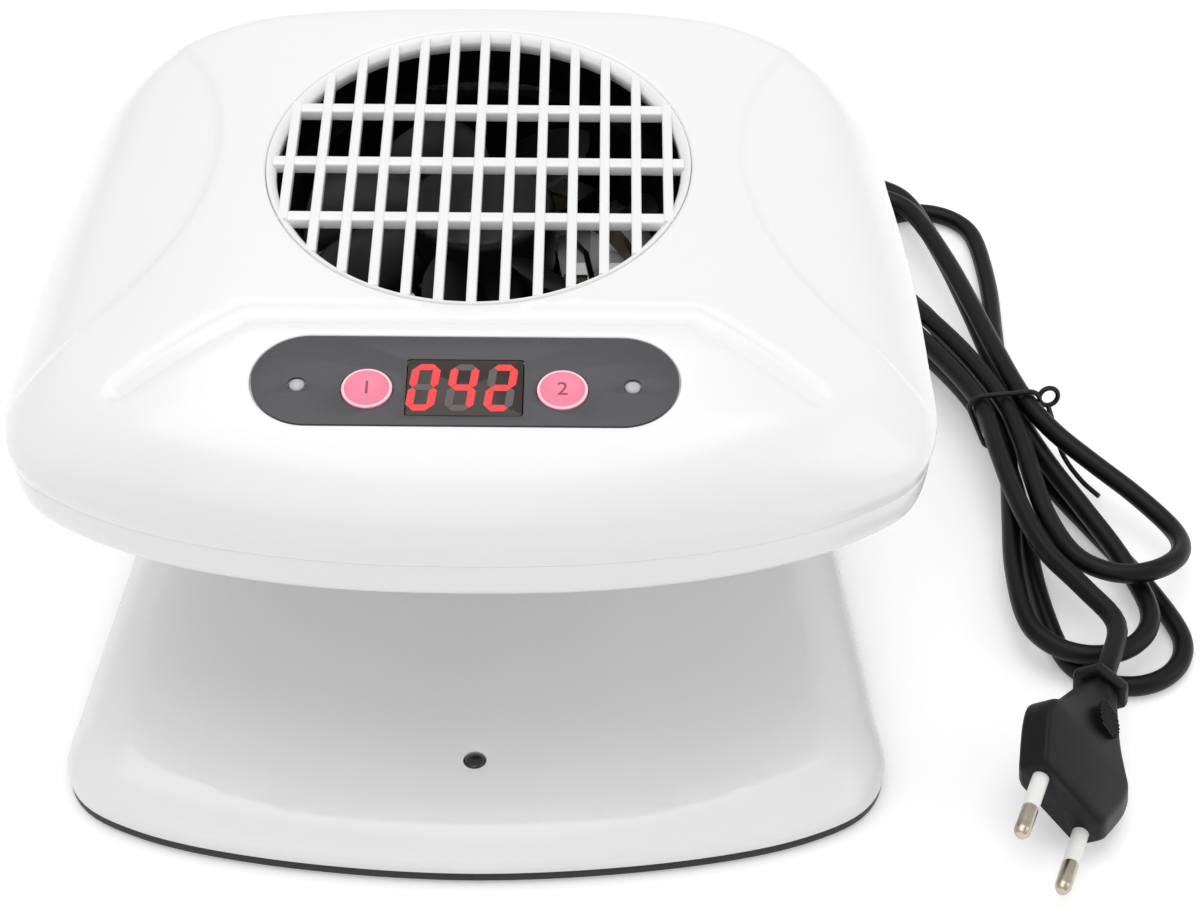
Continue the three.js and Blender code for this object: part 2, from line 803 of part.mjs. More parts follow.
const displayTop = -windowThickness - gap;
piece(
  'digit_display',
  block(windowLength, windowWidth, boardTop + gap, displayTop, 0, windowRowY),
  displayBrown, panel,
);

const flangeTop = -wall - 2 * gap;
const flangeBottom = flangeTop - buttonFlangeThickness;
const switchTop = boardTop + gap + switchHeight;
const switchBoreBottom = switchTop - switchBoreDepth;
const stemBottom = switchBoreBottom + buttonTravel + gap;

function pushButton() {
  const radius = buttonDiameter / 2;
  return turned([
    [0, stemBottom], [buttonStemDiameter / 2, stemBottom], [buttonStemDiameter / 2, flangeBottom],
    [radius + buttonFlange, flangeBottom], [radius + buttonFlange, flangeTop], [radius, flangeTop],
    [radius, buttonProud - buttonProud / 2], [radius - buttonProud, buttonProud], [0, buttonProud],
  ]);
}

function tactSwitch() {
  const body = block(switchSize, switchSize, boardTop + gap, switchTop);
  return body.subtract(rod(buttonStemDiameter / 2 + gap, switchBoreBottom, switchTop + overrun));
}

function indicatorLamp() {
  const radius = lampDiameter / 2;
  const shoulder = lampProud - radius * 0.5;
  return turned([
    [0, boardTop + gap], [radius + gap, boardTop + gap], [radius + gap, boardTop + gap + buttonFlangeThickness],
    [radius, boardTop + gap + buttonFlangeThickness], [radius, shoulder],
    [radius * 0.8, shoulder + radius * 0.3], [radius * 0.45, lampProud - radius * 0.07], [0, lampProud],
  ], 0, 0, smallSegments);
}

[['cool', -1], ['hot', 1]].forEach(([name, side]) => {
  const place = [side * buttonX, buttonRowY, 0];
  piece(`${name}_button`, pushButton(), buttonPink, panel, place);
  piece(`${name}_switch`, tactSwitch(), blackPlastic, panel, place);
  piece(`${name}_lamp`, indicatorLamp(), lampClear, panel, [side * lampX, lampRowY, 0]);
});

const boardBottom = boardTop - boardThickness;
const controlBoard = cutFrom(
  block(boardLength, boardWidth, boardBottom, boardTop),
  boardBosses.map(([x, y]) => (
    rod(screwShankRadius + gap, boardBottom - overrun, boardTop + overrun, x, y, smallSegments)
  )),
);
piece('control_board', controlBoard, boardGreen, panel);
copies(
  'board_screw', screw(screwHeadHeight, boardScrewLength), steel,
  boardBosses.map(([x, y]) => [x, y, boardBottom - gap - screwHeadHeight]), panel,
);

// Fan: square frame with a round duct, motor seat on struts, stator and bladed rotor

const fan = new THREE.Group();
fan.position.set(0, grilleY, 0);
product.add(fan);

const seatTop = fanBottom + motorSeatThickness;
const hubTop = fanTop - hubTopSink;
const hubBottom = seatTop + gap;
const bearingTop = hubTop - hubWall - 2 * gap;
const fanCorners = [[-1, -1], [1, -1], [1, 1], [-1, 1]].map(([x, y]) => (
  [x * fanHolePitch / 2, y * fanHolePitch / 2]
));

function fanFrame() {
  const flange = roundedSquare(fanSize, fanCornerRadius);
  const duct = turned([
    [fanBoreRadius - wall, fanBottom], [fanBoreRadius + fanDuctWall, fanBottom],
    [fanBoreRadius + fanDuctWall, fanTop], [fanBoreRadius - wall, fanTop], [fanBoreRadius - wall, fanBottom],
  ], 0, 0, ringSegments);
  const body = joined([
    prism(flange, fanBottom, fanBottom + fanFlangeThickness, slotEndSegments),
    prism(flange, fanTop - fanFlangeThickness, fanTop, slotEndSegments), duct,
  ]);
  const bored = cutFrom(body, [
    rod(fanBoreRadius, fanBottom - overrun, fanTop + overrun, 0, 0, ringSegments),
    ...fanCorners.map(([x, y]) => (
      rod(fanHoleRadius, fanBottom - overrun, fanTop + overrun, x, y, smallSegments)
    )),
  ]);
  const struts = Array.from({ length: fanStrutCount }, (_, i) => {
    const arm = block(
      fanBoreRadius + fanDuctWall / 2 - motorSeatRadius / 2, fanStrutWidth, fanBottom, seatTop,
      (fanBoreRadius + fanDuctWall / 2 + motorSeatRadius / 2) / 2, 0,
    );
    return moved(arm, new THREE.Matrix4().makeRotationZ((i + 0.5) / fanStrutCount * Math.PI * 2));
  });
  const seat = joined([
    rod(motorSeatRadius, fanBottom, seatTop), rod(bearingRadius, fanBottom, bearingTop, 0, 0, smallSegments),
  ]);
  return joined([bored, ...struts, seat]).subtract(
    rod(shaftRadius + gap, fanBottom - overrun, fanTop, 0, 0, smallSegments),
  );
}

// One blade: a thin curved plate whose pitch falls from the hub to the tip
function fanBlade(turn) {
  const stations = 4;
  const chordSteps = 4;
  const root = hubRadius - hubWall / 2;
  const tip = fanBoreRadius - bladeTipClearance;
  const middle = (hubTop + hubBottom) / 2;
  const rings = Array.from({ length: stations }, (_, station) => {
    const along = station / (stations - 1);
    const radius = THREE.MathUtils.lerp(root, tip, along);
    const pitch = THREE.MathUtils.lerp(bladeRootPitch, bladeTipPitch, along);
    const chord = bladeChord * THREE.MathUtils.lerp(0.62, 1, along);
    const spot = (share, side) => {
      const reach = share * chord / 2;
      const bow = bladeCamber * (1 - share * share) + side * bladeThickness / 2;
      const around = reach * Math.cos(pitch) + bow * Math.sin(pitch);
      const height = middle - reach * Math.sin(pitch) + bow * Math.cos(pitch);
      const angle = turn + bladeSweep * along * along + around / radius;
      return [radius * Math.cos(angle), radius * Math.sin(angle), height];
    };
    const upper = Array.from({ length: chordSteps }, (_, i) => spot(-1 + 2 * i / (chordSteps - 1), 1));
    const lower = Array.from({ length: chordSteps }, (_, i) => spot(1 - 2 * i / (chordSteps - 1), -1));
    return [...upper, ...lower];
  });
  return loft(rings);
}

function fanRotor() {
  const inner = hubRadius - hubWall;
  const cup = turned([
    [0, hubTop], [hubRadius - hubWall, hubTop], [hubRadius, hubTop - hubWall], [hubRadius, hubBottom],
    [inner, hubBottom], [inner, hubTop - hubWall], [shaftRadius, hubTop - hubWall],
    [shaftRadius, seatTop - motorSeatThickness / 2], [0, seatTop - motorSeatThickness / 2],
  ]);
  const blades = Array.from({ length: bladeCount }, (_, i) => fanBlade(i / bladeCount * Math.PI * 2));
  const cavity = rod(inner, hubBottom - overrun, hubTop - hubWall)
    .subtract(rod(shaftRadius, hubBottom - 2 * overrun, hubTop, 0, 0, roundSegments));
  return joined([cup, ...blades]).subtract(cavity);
}

// The stator's laminations: a sleeve with wide-headed poles
function fanStator() {
  const bore = bearingRadius + gap;
  const poleHead = statorRadius * 0.25;
  const low = seatTop + gap;
  const high = bearingTop - hubWall;
  const poles = Array.from({ length: statorPoleCount }, (_, i) => {
    const neck = block(statorRadius - bore, bore, low, high, (statorRadius + bore) / 2 - poleHead / 2, 0);
    const head = block(poleHead, statorRadius, low, high, statorRadius - poleHead / 2, 0);
    return moved(neck.add(head), new THREE.Matrix4().makeRotationZ(i / statorPoleCount * Math.PI * 2));
  });
  const sleeve = rod(bore * 1.6, low, high, 0, 0, smallSegments);
  const rim = rod(statorRadius, low, high);
  const hole = rod(bore, low - overrun, high + overrun, 0, 0, smallSegments);
  return joined([sleeve, ...poles]).intersect(rim).subtract(hole);
}

piece('fan_frame', fanFrame(), blackPlastic, fan);
piece('fan_rotor', fanRotor(), blackPlastic, fan);
piece('fan_stator', fanStator(), coreSteel, fan);

const fanScrewLength = fanThickness + fanBottom - floorTop - overrun;
const fanScrew = moved(screw(screwHeadHeight, fanScrewLength), new THREE.Matrix4().makeRotationX(Math.PI));
copies('fan_screw', fanScrew, steel, fanCorners.map(([x, y]) => [x, y, fanTop + gap + screwHeadHeight]), fan);

// Heater: a ring with crossed mica strips that carry a spiral of wire in their notches

const heaterBottom = floorTop + gap;
const heaterTop = heaterBottom + heaterHeight;
const wireHeight = heaterTop - heatingWireRadius - gap;

function spiralPoint(turns) {
  const radius = heatingInnerRadius + heatingSpacing * turns;
  const angle = turns * Math.PI * 2;
  return [radius * Math.cos(angle), radius * Math.sin(angle), wireHeight];
}

function heaterFrame() {
  const ring = turned([
    [heaterRadius, heaterBottom], [heaterRadius, heaterTop], [heaterRadius - heaterWall, heaterTop],
    [heaterRadius - heaterWall, heaterBottom], [heaterRadius, heaterBottom],
  ], 0, 0, ringSegments);
  const span = 2 * heaterRadius - heaterWall;
  const strips = [
    block(span, micaThickness, heaterBottom, heaterTop),
    block(micaThickness, span, heaterBottom, heaterTop),
  ];
  const notches = Array.from({ length: heatingTurns * 4 + 1 }, (_, i) => {
    const [x, y] = spiralPoint(i / 4);
    const width = 2 * (heatingWireRadius + gap);
    return block(width, width, wireHeight - heatingWireRadius - gap, heaterTop + overrun, x, y);
  });
  return cutFrom(joined([ring, ...strips]), notches);
}

function heatingWire() {
  const steps = heatingTurns * heatingStepsPerTurn;
  const points = Array.from({ length: steps + 1 }, (_, i) => spiralPoint(i / heatingStepsPerTurn));
  return tube(points, heatingWireRadius, 6);
}

piece('heater_frame', heaterFrame(), mica, fan);
piece('heating_wire', heatingWire(), steel, fan);
piece(
  'thermal_cutout',
  block(
    cutoutWidth, cutoutLength, heaterBottom, wireHeight - heatingWireRadius - gap,
    (micaThickness + cutoutWidth) / 2 + gap, -cutoutRadius,
  ),
  blackPlastic, fan,
);

// Base and column, as one housing that is hollow from below and split at a seam

const baseOutline = outlineOf(baseOutlineShares, baseHalfWidth, baseFront, baseRear, baseSegments);
const columnTop = headBottom - gap;

function basePad(inset) {
  const rings = [level(insetOutline(baseOutline, inset), inset ? shellBottom - overrun : shellBottom)];
  const top = rimHeight - inset;
  for (let step = 0; step <= apronSteps; step++) {
    const angle = step / apronSteps * Math.PI / 2;
    const distance = inset + apronRun * (1 - Math.cos(angle));
    rings.push(level(insetOutline(baseOutline, distance), shellBottom + overrun + (top - shellBottom - overrun) * Math.sin(angle)));
  }
  return loft(rings);
}

function columnSpread(height) {
  const waist = THREE.MathUtils.lerp(shellBottom, columnTop, columnWaistShare);
  const off = (height - waist) / (columnTop - waist);
  return off * off;
}

function column(inset) {
  const low = inset ? shellBottom - overrun : shellBottom;
  const high = inset ? columnTop + overrun : columnTop;
  return loft(Array.from({ length: columnSteps + 1 }, (_, step) => {
    const height = THREE.MathUtils.lerp(low, high, step / columnSteps);
    const spread = columnSpread(height);
    const outline = outlineOf(
      columnOutlineShares, columnHalfWidth + columnFlare * spread - inset,
      columnFront + inset, columnRear + columnRearFlare * spread - inset, columnSegments,
    );
    return level(outline, height);
  }));
}

// The space over the dish, swept across the dryer: flat in front, then curving up the column
function handSpace(sink, halfWidth) {
  const steps = roundSegments / 2;
  const radius = sweepRadius + sink;
  const floor = rimHeight - sink;
  const far = baseFront - apronRun;
  const profile = [[far, floor]];
  for (let step = 0; step <= steps; step++) {
    const angle = step / steps * Math.PI / 2;
    profile.push([sweepStartY + radius * Math.sin(angle), floor + radius * (1 - Math.cos(angle))]);
  }
  profile.push([sweepStartY + radius, columnTop + 2 * overrun], [far, columnTop + 2 * overrun]);
  const body = prism(shapeOf(profile), -halfWidth, halfWidth);
  const stand = new THREE.Matrix4().makeBasis(
    new THREE.Vector3(0, 1, 0), new THREE.Vector3(0, 0, 1), new THREE.Vector3(1, 0, 0),
  );
  return moved(body, stand);
}

function housing(inset) {
  const reach = baseHalfWidth + edgeRun;
  const dish = prism(
    shapeOf(insetOutline(baseOutline, rimBand - inset)), 0, columnTop + 3 * overrun,
  ).intersect(handSpace(dishSink + inset, reach));
  return basePad(inset).add(column(inset)).subtract(handSpace(inset, reach)).subtract(dish);
}

const rearWallBoss = moved(
  rod(wallBossRadius, columnRear - columnRearFlare, wallBossRear),
  new THREE.Matrix4().makeRotationX(-Math.PI / 2).setPosition(exitX, 0, exitHeight),
);
const glandHole = moved(
  rod(glandRadius + gap, columnRear - edgeRun, wallBossRear + overrun, 0, 0, smallSegments),
  new THREE.Matrix4().makeRotationX(-Math.PI / 2).setPosition(exitX, 0, exitHeight),
);
const plateTop = plateBottom + plateThickness;
const rearBaseScrew = [
  rearBaseScrewShares[0] * baseHalfWidth,
  (baseFront + baseRear) / 2 + rearBaseScrewShares[1] * (baseRear - baseFront) / 2,
];
const baseScrews = [frontBaseScrew, rearBaseScrew].flatMap(([x, y]) => [[-x, y], [x, y]]);
const baseBossTop = rimHeight - dishSink - wall / 2;
const sensorHole = rod(sensorRadius + gap, shellBottom, rimHeight, 0, sensorY, smallSegments);

const shell = cutFrom(
  joined([
    housing(0).subtract(housing(wall)), rearWallBoss,
    ...baseScrews.map(([x, y]) => rod(bossRadius, shellBottom, baseBossTop, x, y, smallSegments)),
  ]),
  [
    glandHole, sensorHole,
    ...baseScrews.map(([x, y]) => (
      rod(screwShankRadius + gap, shellBottom - overrun, baseBossTop - wall / 2, x, y, smallSegments)
    )),
  ],
);
const halfSpace = (low, high) => (
  block(headHalfWidth * 3, high - low, -overrun, columnTop + overrun, 0, (low + high) / 2)
);
piece('hand_rest', shell.intersect(halfSpace(baseFront - overrun, seamY - gap / 2)), whiteGloss);
piece('rear_cover', shell.intersect(halfSpace(seamY + gap / 2, headRear + overrun)), whiteGloss);

// Base plate with its rib, the sensor's pegs and the power board's pegs; feet and screws

const sensorPegs = [-1, 1].map((side) => [side * (sensorBoardLength / 2 - sensorPegRadius), sensorY]);
const powerPegs = [[-1, -1], [1, -1], [1, 1], [-1, 1]].map(([x, y]) => (
  [x * powerPegX, powerBoardY + y * powerPegY]
));
const feet = [[-footX, footFrontY], [footX, footFrontY], [-footX, footRearY], [footX, footRearY]];
const screwPocketTop = plateBottom + baseScrewHeadHeight + 2 * gap;

function basePlate() {
  const ribOuter = insetOutline(baseOutline, wall + 2 * gap);
  const ribInner = insetOutline(baseOutline, wall + 2 * gap + plateRibWidth);
  const rib = prism(shapeOf(ribOuter), plateTop - plateInset, plateTop + plateRibHeight)
    .subtract(prism(shapeOf(ribInner), plateTop - overrun, plateTop + plateRibHeight + overrun));
  const ribClear = baseScrews.map(([x, y]) => (
    rod(bossRadius + gap, plateTop, plateTop + plateRibHeight + overrun, x, y, smallSegments)
  ));
  const body = joined([
    prism(shapeOf(insetOutline(baseOutline, plateInset)), plateBottom, plateTop),
    cutFrom(rib, ribClear),
    ...sensorPegs.map(([x, y]) => (
      rod(sensorPegRadius, plateTop - plateInset, plateTop + sensorPegHeight, x, y, smallSegments)
    )),
    ...powerPegs.map(([x, y]) => (
      rod(powerPegRadius, plateTop - plateInset, plateTop + powerPegHeight, x, y, smallSegments)
    )),
  ]);
  return cutFrom(body, [
    ...feet.map(([x, y]) => rod(footRadius + gap, plateBottom - overrun, plateBottom + footPocket, x, y)),
    ...baseScrews.flatMap(([x, y]) => [
      rod(screwHeadRadius + gap, plateBottom - overrun, screwPocketTop, x, y, smallSegments),
      rod(screwShankRadius + gap, plateBottom - overrun, plateTop + overrun, x, y, smallSegments),
    ]),
  ]);
}

piece('base_plate', basePlate(), blackPlastic);
const foot = turned([
  [0, 0], [footRadius - footPocket, 0], [footRadius, footPocket],
  [footRadius, plateBottom + footPocket - gap], [0, plateBottom + footPocket - gap],
]);
copies('rubber_foot', foot, blackRubber, feet.map(([x, y]) => [x, y, 0]));
copies(
  'base_screw', screw(baseScrewHeadHeight, baseScrewLength), steel,
  baseScrews.map(([x, y]) => [x, y, plateBottom + gap]),
);

// Hand sensor: a dark lens in the dish, on a small board

const sensorBoardBottom = plateTop + sensorPegHeight + gap;
const sensorBoardTop = sensorBoardBottom + sensorBoardThickness;
const dishHeight = rimHeight - dishSink;
piece(
  'sensor_board',
  block(sensorBoardLength, sensorBoardWidth, sensorBoardBottom, sensorBoardTop, 0, sensorY),
  boardGreen,
);
const sensorFlangeBottom = sensorBoardTop + gap;
const sensorFlangeTop = sensorFlangeBottom + sensorFlangeThickness;
const sensorTip = dishHeight + sensorProud;
piece(
  'hand_sensor',
  turned([
    [0, sensorFlangeBottom], [sensorRadius + sensorFlange, sensorFlangeBottom],
    [sensorRadius + sensorFlange, sensorFlangeTop], [sensorRadius, sensorFlangeTop],
    [sensorRadius, sensorTip - sensorRadius * 0.35], [sensorRadius * 0.6, sensorTip - sensorRadius * 0.1],
    [0, sensorTip],
  ], 0, sensorY, smallSegments),
  blackGloss,
);

// Power board and what stands on it

const powerBoardBottom = plateTop + powerPegHeight + gap;
const powerBoardTop = powerBoardBottom + boardThickness;
const partsBottom = powerBoardTop + gap;
piece(
  'power_board',
  block(powerBoardLength, powerBoardWidth, powerBoardBottom, powerBoardTop, 0, powerBoardY),
  boardGreen,
);

function transformer() {
  const coilHeight = transformerHeight - 2 * transformerCoilMargin;
  const core = block(
    transformerLength, transformerWidth - 2 * transformerCoilMargin, partsBottom, partsBottom + transformerHeight,
  );
  const coil = block(
    transformerLength - 2 * transformerCoilMargin, transformerWidth,
    partsBottom + transformerCoilMargin, partsBottom + transformerCoilMargin + coilHeight,
  );
  return core.add(coil);
}

const capacitor = rod(capacitorRadius, partsBottom, partsBottom + capacitorHeight);
const relay = block(relayLength, relayWidth, partsBottom, partsBottom + relayHeight);
piece('transformer', transformer(), coreSteel, product, [transformerX, powerBoardY, 0]);
piece('smoothing_capacitor', capacitor, capacitorBlue, product, [capacitorX, powerBoardY, 0]);
piece('heater_relay', relay, relayBlue, product, [relayX, powerBoardY, 0]);

// Cord gland: an inner flange, a neck in the wall, an outer flange and a ribbed taper

const glandRear = wallBossRear + gap;
const reliefStart = glandRear + glandFlangeThickness;
const reliefEnd = reliefStart + reliefLength;

function strainRelief() {
  const innerFlange = columnRear - columnRearFlare - gap;
  const ribs = Array.from({ length: reliefRibCount }, (_, i) => {
    const share = (i + 0.5) / reliefRibCount;
    const half = reliefLength / reliefRibCount / 4;
    const at = reliefStart + share * reliefLength;
    const radius = THREE.MathUtils.lerp(glandRadius, reliefEndRadius, share);
    const groove = radius * 0.8;
    return [[radius, at - half], [groove, at - half * 0.6], [groove, at + half * 0.6], [radius * 0.98, at + half]];
  }).flat();
  const profile = [
    [0, innerFlange - glandFlangeThickness], [glandFlangeRadius, innerFlange - glandFlangeThickness],
    [glandFlangeRadius, innerFlange], [glandRadius, innerFlange], [glandRadius, glandRear],
    [glandFlangeRadius, glandRear], [glandFlangeRadius, reliefStart], [glandRadius, reliefStart],
    ...ribs, [reliefEndRadius, reliefEnd], [0, reliefEnd],
  ];
  const turn = new THREE.Matrix4().makeRotationX(-Math.PI / 2).setPosition(exitX, 0, exitHeight);
  return moved(turned(profile, 0, 0, smallSegments), turn);
}

piece('strain_relief', strainRelief(), blackRubber);

// The cord's lead, from the gland to the hank

const cordRadius = cordDiameter / 2;

function smoothPath(points, step) {
  const places = points.map((point) => new THREE.Vector3(...point));
  const curve = new THREE.CatmullRomCurve3(places, false, 'centripetal');
  const count = Math.ceil(curve.getLength() / step);
  return curve.getSpacedPoints(count).map((point) => point.toArray());
}

const leadStart = [exitX, reliefEnd + gap, exitHeight];
const leadEnd = [
  hankStart[0] - hankStartHeading[0] * gap, hankStart[1] - hankStartHeading[1] * gap, hankStart[2],
];
const leadPath = smoothPath([leadStart, ...leadPoints, leadEnd], cordDiameter * 1.5);
piece('cord_lead', tube(leadPath, cordRadius, cordSides), blackPlastic);

// The hank: each loop lies on the one below and they fan out from the tie. Places in the hank are
// given along its axis from the tie, towards the plug, and across it to the right.

const alongAxis = [Math.cos(hankAxis), Math.sin(hankAxis)];
const acrossAxis = [-Math.sin(hankAxis), Math.cos(hankAxis)];
const floorLevel = cordRadius + floorLift;

function hankPlace([along, across], height) {
  return [
    tiePlace[0] + along * alongAxis[0] + across * acrossAxis[0],
    tiePlace[1] + along * alongAxis[1] + across * acrossAxis[1],
    height,
  ];
}

function inHank([x, y]) {
  const [dx, dy] = [x - tiePlace[0], y - tiePlace[1]];
  return [dx * alongAxis[0] + dy * alongAxis[1], dx * acrossAxis[0] + dy * acrossAxis[1]];
}

// One half of a run, between a fold's end and the tie, as a smooth curve in plan
function halfRun(from, fromHeading, to, toHeading, fromHeight, toHeight, heightShare = 1) {
  const reach = Math.hypot(to[0] - from[0], to[1] - from[1]);
  const points = [];
  for (let step = 1; step <= runSteps; step++) {
    const t = step / runSteps;
    const h00 = 2 * t ** 3 - 3 * t ** 2 + 1;
    const h10 = t ** 3 - 2 * t ** 2 + t;
    const h01 = 3 * t ** 2 - 2 * t ** 3;
    const h11 = t ** 3 - t ** 2;
    const spot = [0, 1].map((axis) => (
      h00 * from[axis] + h10 * reach * fromHeading[axis] + h01 * to[axis] + h11 * reach * toHeading[axis]
    ));
    const rise = THREE.MathUtils.smoothstep(t, 0, heightShare);
    points.push(hankPlace(spot, THREE.MathUtils.lerp(fromHeight, toHeight, rise)));
  }
  return points;
}

function foldFrame([along, across]) {
  const reach = Math.hypot(along, across);
  const out = [along / reach, across / reach];
  return { centre: [along, across], out, side: [-out[1], out[0]] };
}

// A half turn round the fold's centre, which may sink in its second half where nothing holds it up
function foldTurn({ centre, out, side }, startHeight, endHeight) {
  return Array.from({ length: foldSteps + 1 }, (_, step) => {
    const angle = step / foldSteps * Math.PI;
    const sideways = -Math.cos(angle) * foldRadius;
    const outward = Math.sin(angle) * foldRadius;
    const height = THREE.MathUtils.lerp(startHeight, endHeight, THREE.MathUtils.smoothstep(angle, Math.PI / 2, Math.PI));
    return hankPlace([0, 1].map((axis) => centre[axis] + side[axis] * sideways + out[axis] * outward), height);
  });
}

// The heading of a run where the tie holds it: it leans from the axis towards the run's two ends
function leaning(before, after) {
  const lean = slotLeanShare * (after[1] - before[1]) / Math.abs(after[0] - before[0]);
  const direction = [Math.sign(after[0] - before[0]), lean];
  return direction.map((value) => value / Math.hypot(...direction));
}

function foldEnd({ centre, side }, which) {
  return [0, 1].map((axis) => centre[axis] + side[axis] * which * foldRadius);
}

function hankPath() {
  const loops = nearFolds.length;
  const minus = (direction) => direction.map((value) => -value);
  const layerHeight = (layer) => floorLevel + layer * layerPitch;
  const waistHeight = (layer) => layerHeight(layer) + tieLift;
  const startHeading = [
    hankStartHeading[0] * alongAxis[0] + hankStartHeading[1] * alongAxis[1],
    hankStartHeading[0] * acrossAxis[0] + hankStartHeading[1] * acrossAxis[1],
  ];
  const straight = [0, 1].map((axis) => inHank(hankStart)[axis] + startHeading[axis] * cordDiameter);
  const points = [hankPlace(inHank(hankStart), floorLevel), hankPlace(straight, floorLevel)];
  let from = straight;
  let fromHeading = startHeading;
  let fromHeight = floorLevel;
  for (let layer = 0; layer < loops; layer++) {
    const [leftSlot, rightSlot] = waistSlots[layer].map((across) => [0, across]);
    const near = foldFrame(nearFolds[layer]);
    const far = foldFrame(farFolds[layer]);
    const height = layerHeight(layer);
    const waist = waistHeight(layer);
    const nearEnd = height - nearDroop[layer];
    const forward = leaning(from, foldEnd(near, -1));
    const back = leaning(foldEnd(near, 1), foldEnd(far, -1));
    points.push(...halfRun(from, fromHeading, leftSlot, forward, fromHeight, waist, layer ? climbShare : 1));
    points.push(...halfRun(leftSlot, forward, foldEnd(near, -1), near.out, waist, height).slice(0, -1));
    points.push(...foldTurn(near, height, nearEnd));
    points.push(...halfRun(foldEnd(near, 1), minus(near.out), rightSlot, back, nearEnd, waist));
    points.push(...halfRun(rightSlot, back, foldEnd(far, -1), far.out, waist, height).slice(0, -1));
    points.push(...foldTurn(far, height, height));
    from = foldEnd(far, 1);
    fromHeading = minus(far.out);
    fromHeight = height;
  }
  const top = layerHeight(loops - 1);
  const lastHeading = leaning(from, tailPoints[0]);
  points.push(...halfRun(from, fromHeading, [0, tailSlot], lastHeading, fromHeight, waistHeight(loops - 1)));
  const neckReach = plugLength + gap;
  const neck = [plugFace[0] + Math.sin(plugYaw) * neckReach, plugFace[1] + Math.cos(plugYaw) * neckReach];
  const beforeNeck = [neck[0] + Math.sin(plugYaw) * cordDiameter, neck[1] + Math.cos(plugYaw) * cordDiameter];
  const tail = [
    points[points.length - 2], points[points.length - 1],
    ...tailPoints.map(([along, across, lift]) => hankPlace([along, across], top + lift)),
    [...beforeNeck, plugFace[2]], [...neck, plugFace[2]],
  ];
  const places = tail.map((point) => new THREE.Vector3(...point));
  const curve = new THREE.CatmullRomCurve3(places, false, 'centripetal');
  const tailSteps = (tail.length - 2) * 3;
  for (let step = 1; step <= tailSteps; step++) {
    const share = (1 + (tail.length - 2) * step / tailSteps) / (tail.length - 1);
    points.push(curve.getPoint(share).toArray());
  }
  return points;
}

const hankPoints = hankPath();
piece('cord_hank', tube(hankPoints, cordRadius, hankSides), blackPlastic);

// The cord's length, the hank's least gap to itself and its tightest bend, measured on points
function pathLength(points) {
  const places = points.map((point) => new THREE.Vector3(...point));
  return places.slice(1).reduce((sum, place, i) => sum + place.distanceTo(places[i]), 0);
}

function leastGap(points) {
  const fine = smoothPath(points, cordDiameter / 4).map((point) => new THREE.Vector3(...point));
  const apart = Math.ceil(foldRadius * 2 / (cordDiameter / 4));
  let least = Infinity;
  let place = null;
  for (let i = 0; i < fine.length; i++) {
    for (let j = i + apart; j < fine.length; j++) {
      const distance = fine[i].distanceTo(fine[j]);
      if (distance < least) {
        least = distance;
        place = [fine[i], fine[j]].map((point) => inHank(point.toArray()).map(Math.round));
      }
    }
  }
  return { gap: least - cordDiameter, place };
}

const hankGap = leastGap(hankPoints);
console.log(`cord length ${(pathLength(leadPath) + pathLength(hankPoints)).toFixed(0)} mm`);
console.log(`least gap of the hank to itself ${hankGap.gap.toFixed(2)} mm at ${JSON.stringify(hankGap.place)}`);

// The twist tie: a wire drawn round the strands at the waist, with an eye and a loose tail
function strandsAtTie() {
  const base = floorLevel + tieLift;
  const slots = waistSlots.flatMap((pair, layer) => pair.map((across) => [across, base + layer * layerPitch]));
  return [...slots, [tailSlot, base + (waistSlots.length - 1) * layerPitch]];
}

// The line drawn round the strands: for each direction in turn, the strand that lies furthest out
function tieLoop() {
  const reach = cordRadius + tieWireRadius + gap;
  const strands = strandsAtTie();
  return Array.from({ length: tieSteps }, (_, i) => {
    const angle = i / tieSteps * Math.PI * 2;
    const out = [Math.cos(angle), Math.sin(angle)];
    const extent = ([across, height]) => across * out[0] + height * out[1];
    const furthest = strands.reduce((best, strand) => (extent(strand) > extent(best) ? strand : best));
    return { spot: [furthest[0] + out[0] * reach, furthest[1] + out[1] * reach], out };
  });
}

function twistTie() {
  const matrix = new THREE.Matrix4().makeRotationZ(hankAxis + Math.PI / 2).setPosition(...hankPlace([0, 0], 0));
  const section = Array.from({ length: tieSides }, (_, i) => i / tieSides * Math.PI * 2).map((angle) => (
    [Math.cos(angle) * tieWireRadius, Math.sin(angle) * tieWireRadius]
  ));
  const wound = (line) => loft(line.map(({ spot, out }) => (
    section.map(([outward, aside]) => [spot[0] + out[0] * outward, aside, spot[1] + out[1] * outward])
  )), false);
  const loop = tieLoop();
  const [right, height] = loop[tieEyeStep].spot;
  const middle = right + tieEyeRadius;
  const eye = Array.from({ length: smallSegments }, (_, i) => {
    const angle = i / smallSegments * Math.PI * 2;
    const out = [Math.cos(angle), Math.sin(angle)];
    return { spot: [middle + out[0] * tieEyeRadius, height + out[1] * tieEyeRadius], out };
  });
  const tail = tube(
    tieTailPoints.map(([across, along, drop]) => [middle + across, -along, height - drop]), tieWireRadius, tieSides,
  );
  return moved(joined([wound(loop), wound(eye), tail]), matrix);
}

piece('twist_tie', twistTie(), blackPlastic);

// Plug: a flat tapering body with a flange at its neck and two round pins in insulating sleeves

const plug = new THREE.Group();
plug.position.set(...plugFace);
plug.rotation.set(Math.PI / 2, plugRoll, -plugYaw, 'ZYX');
product.add(plug);

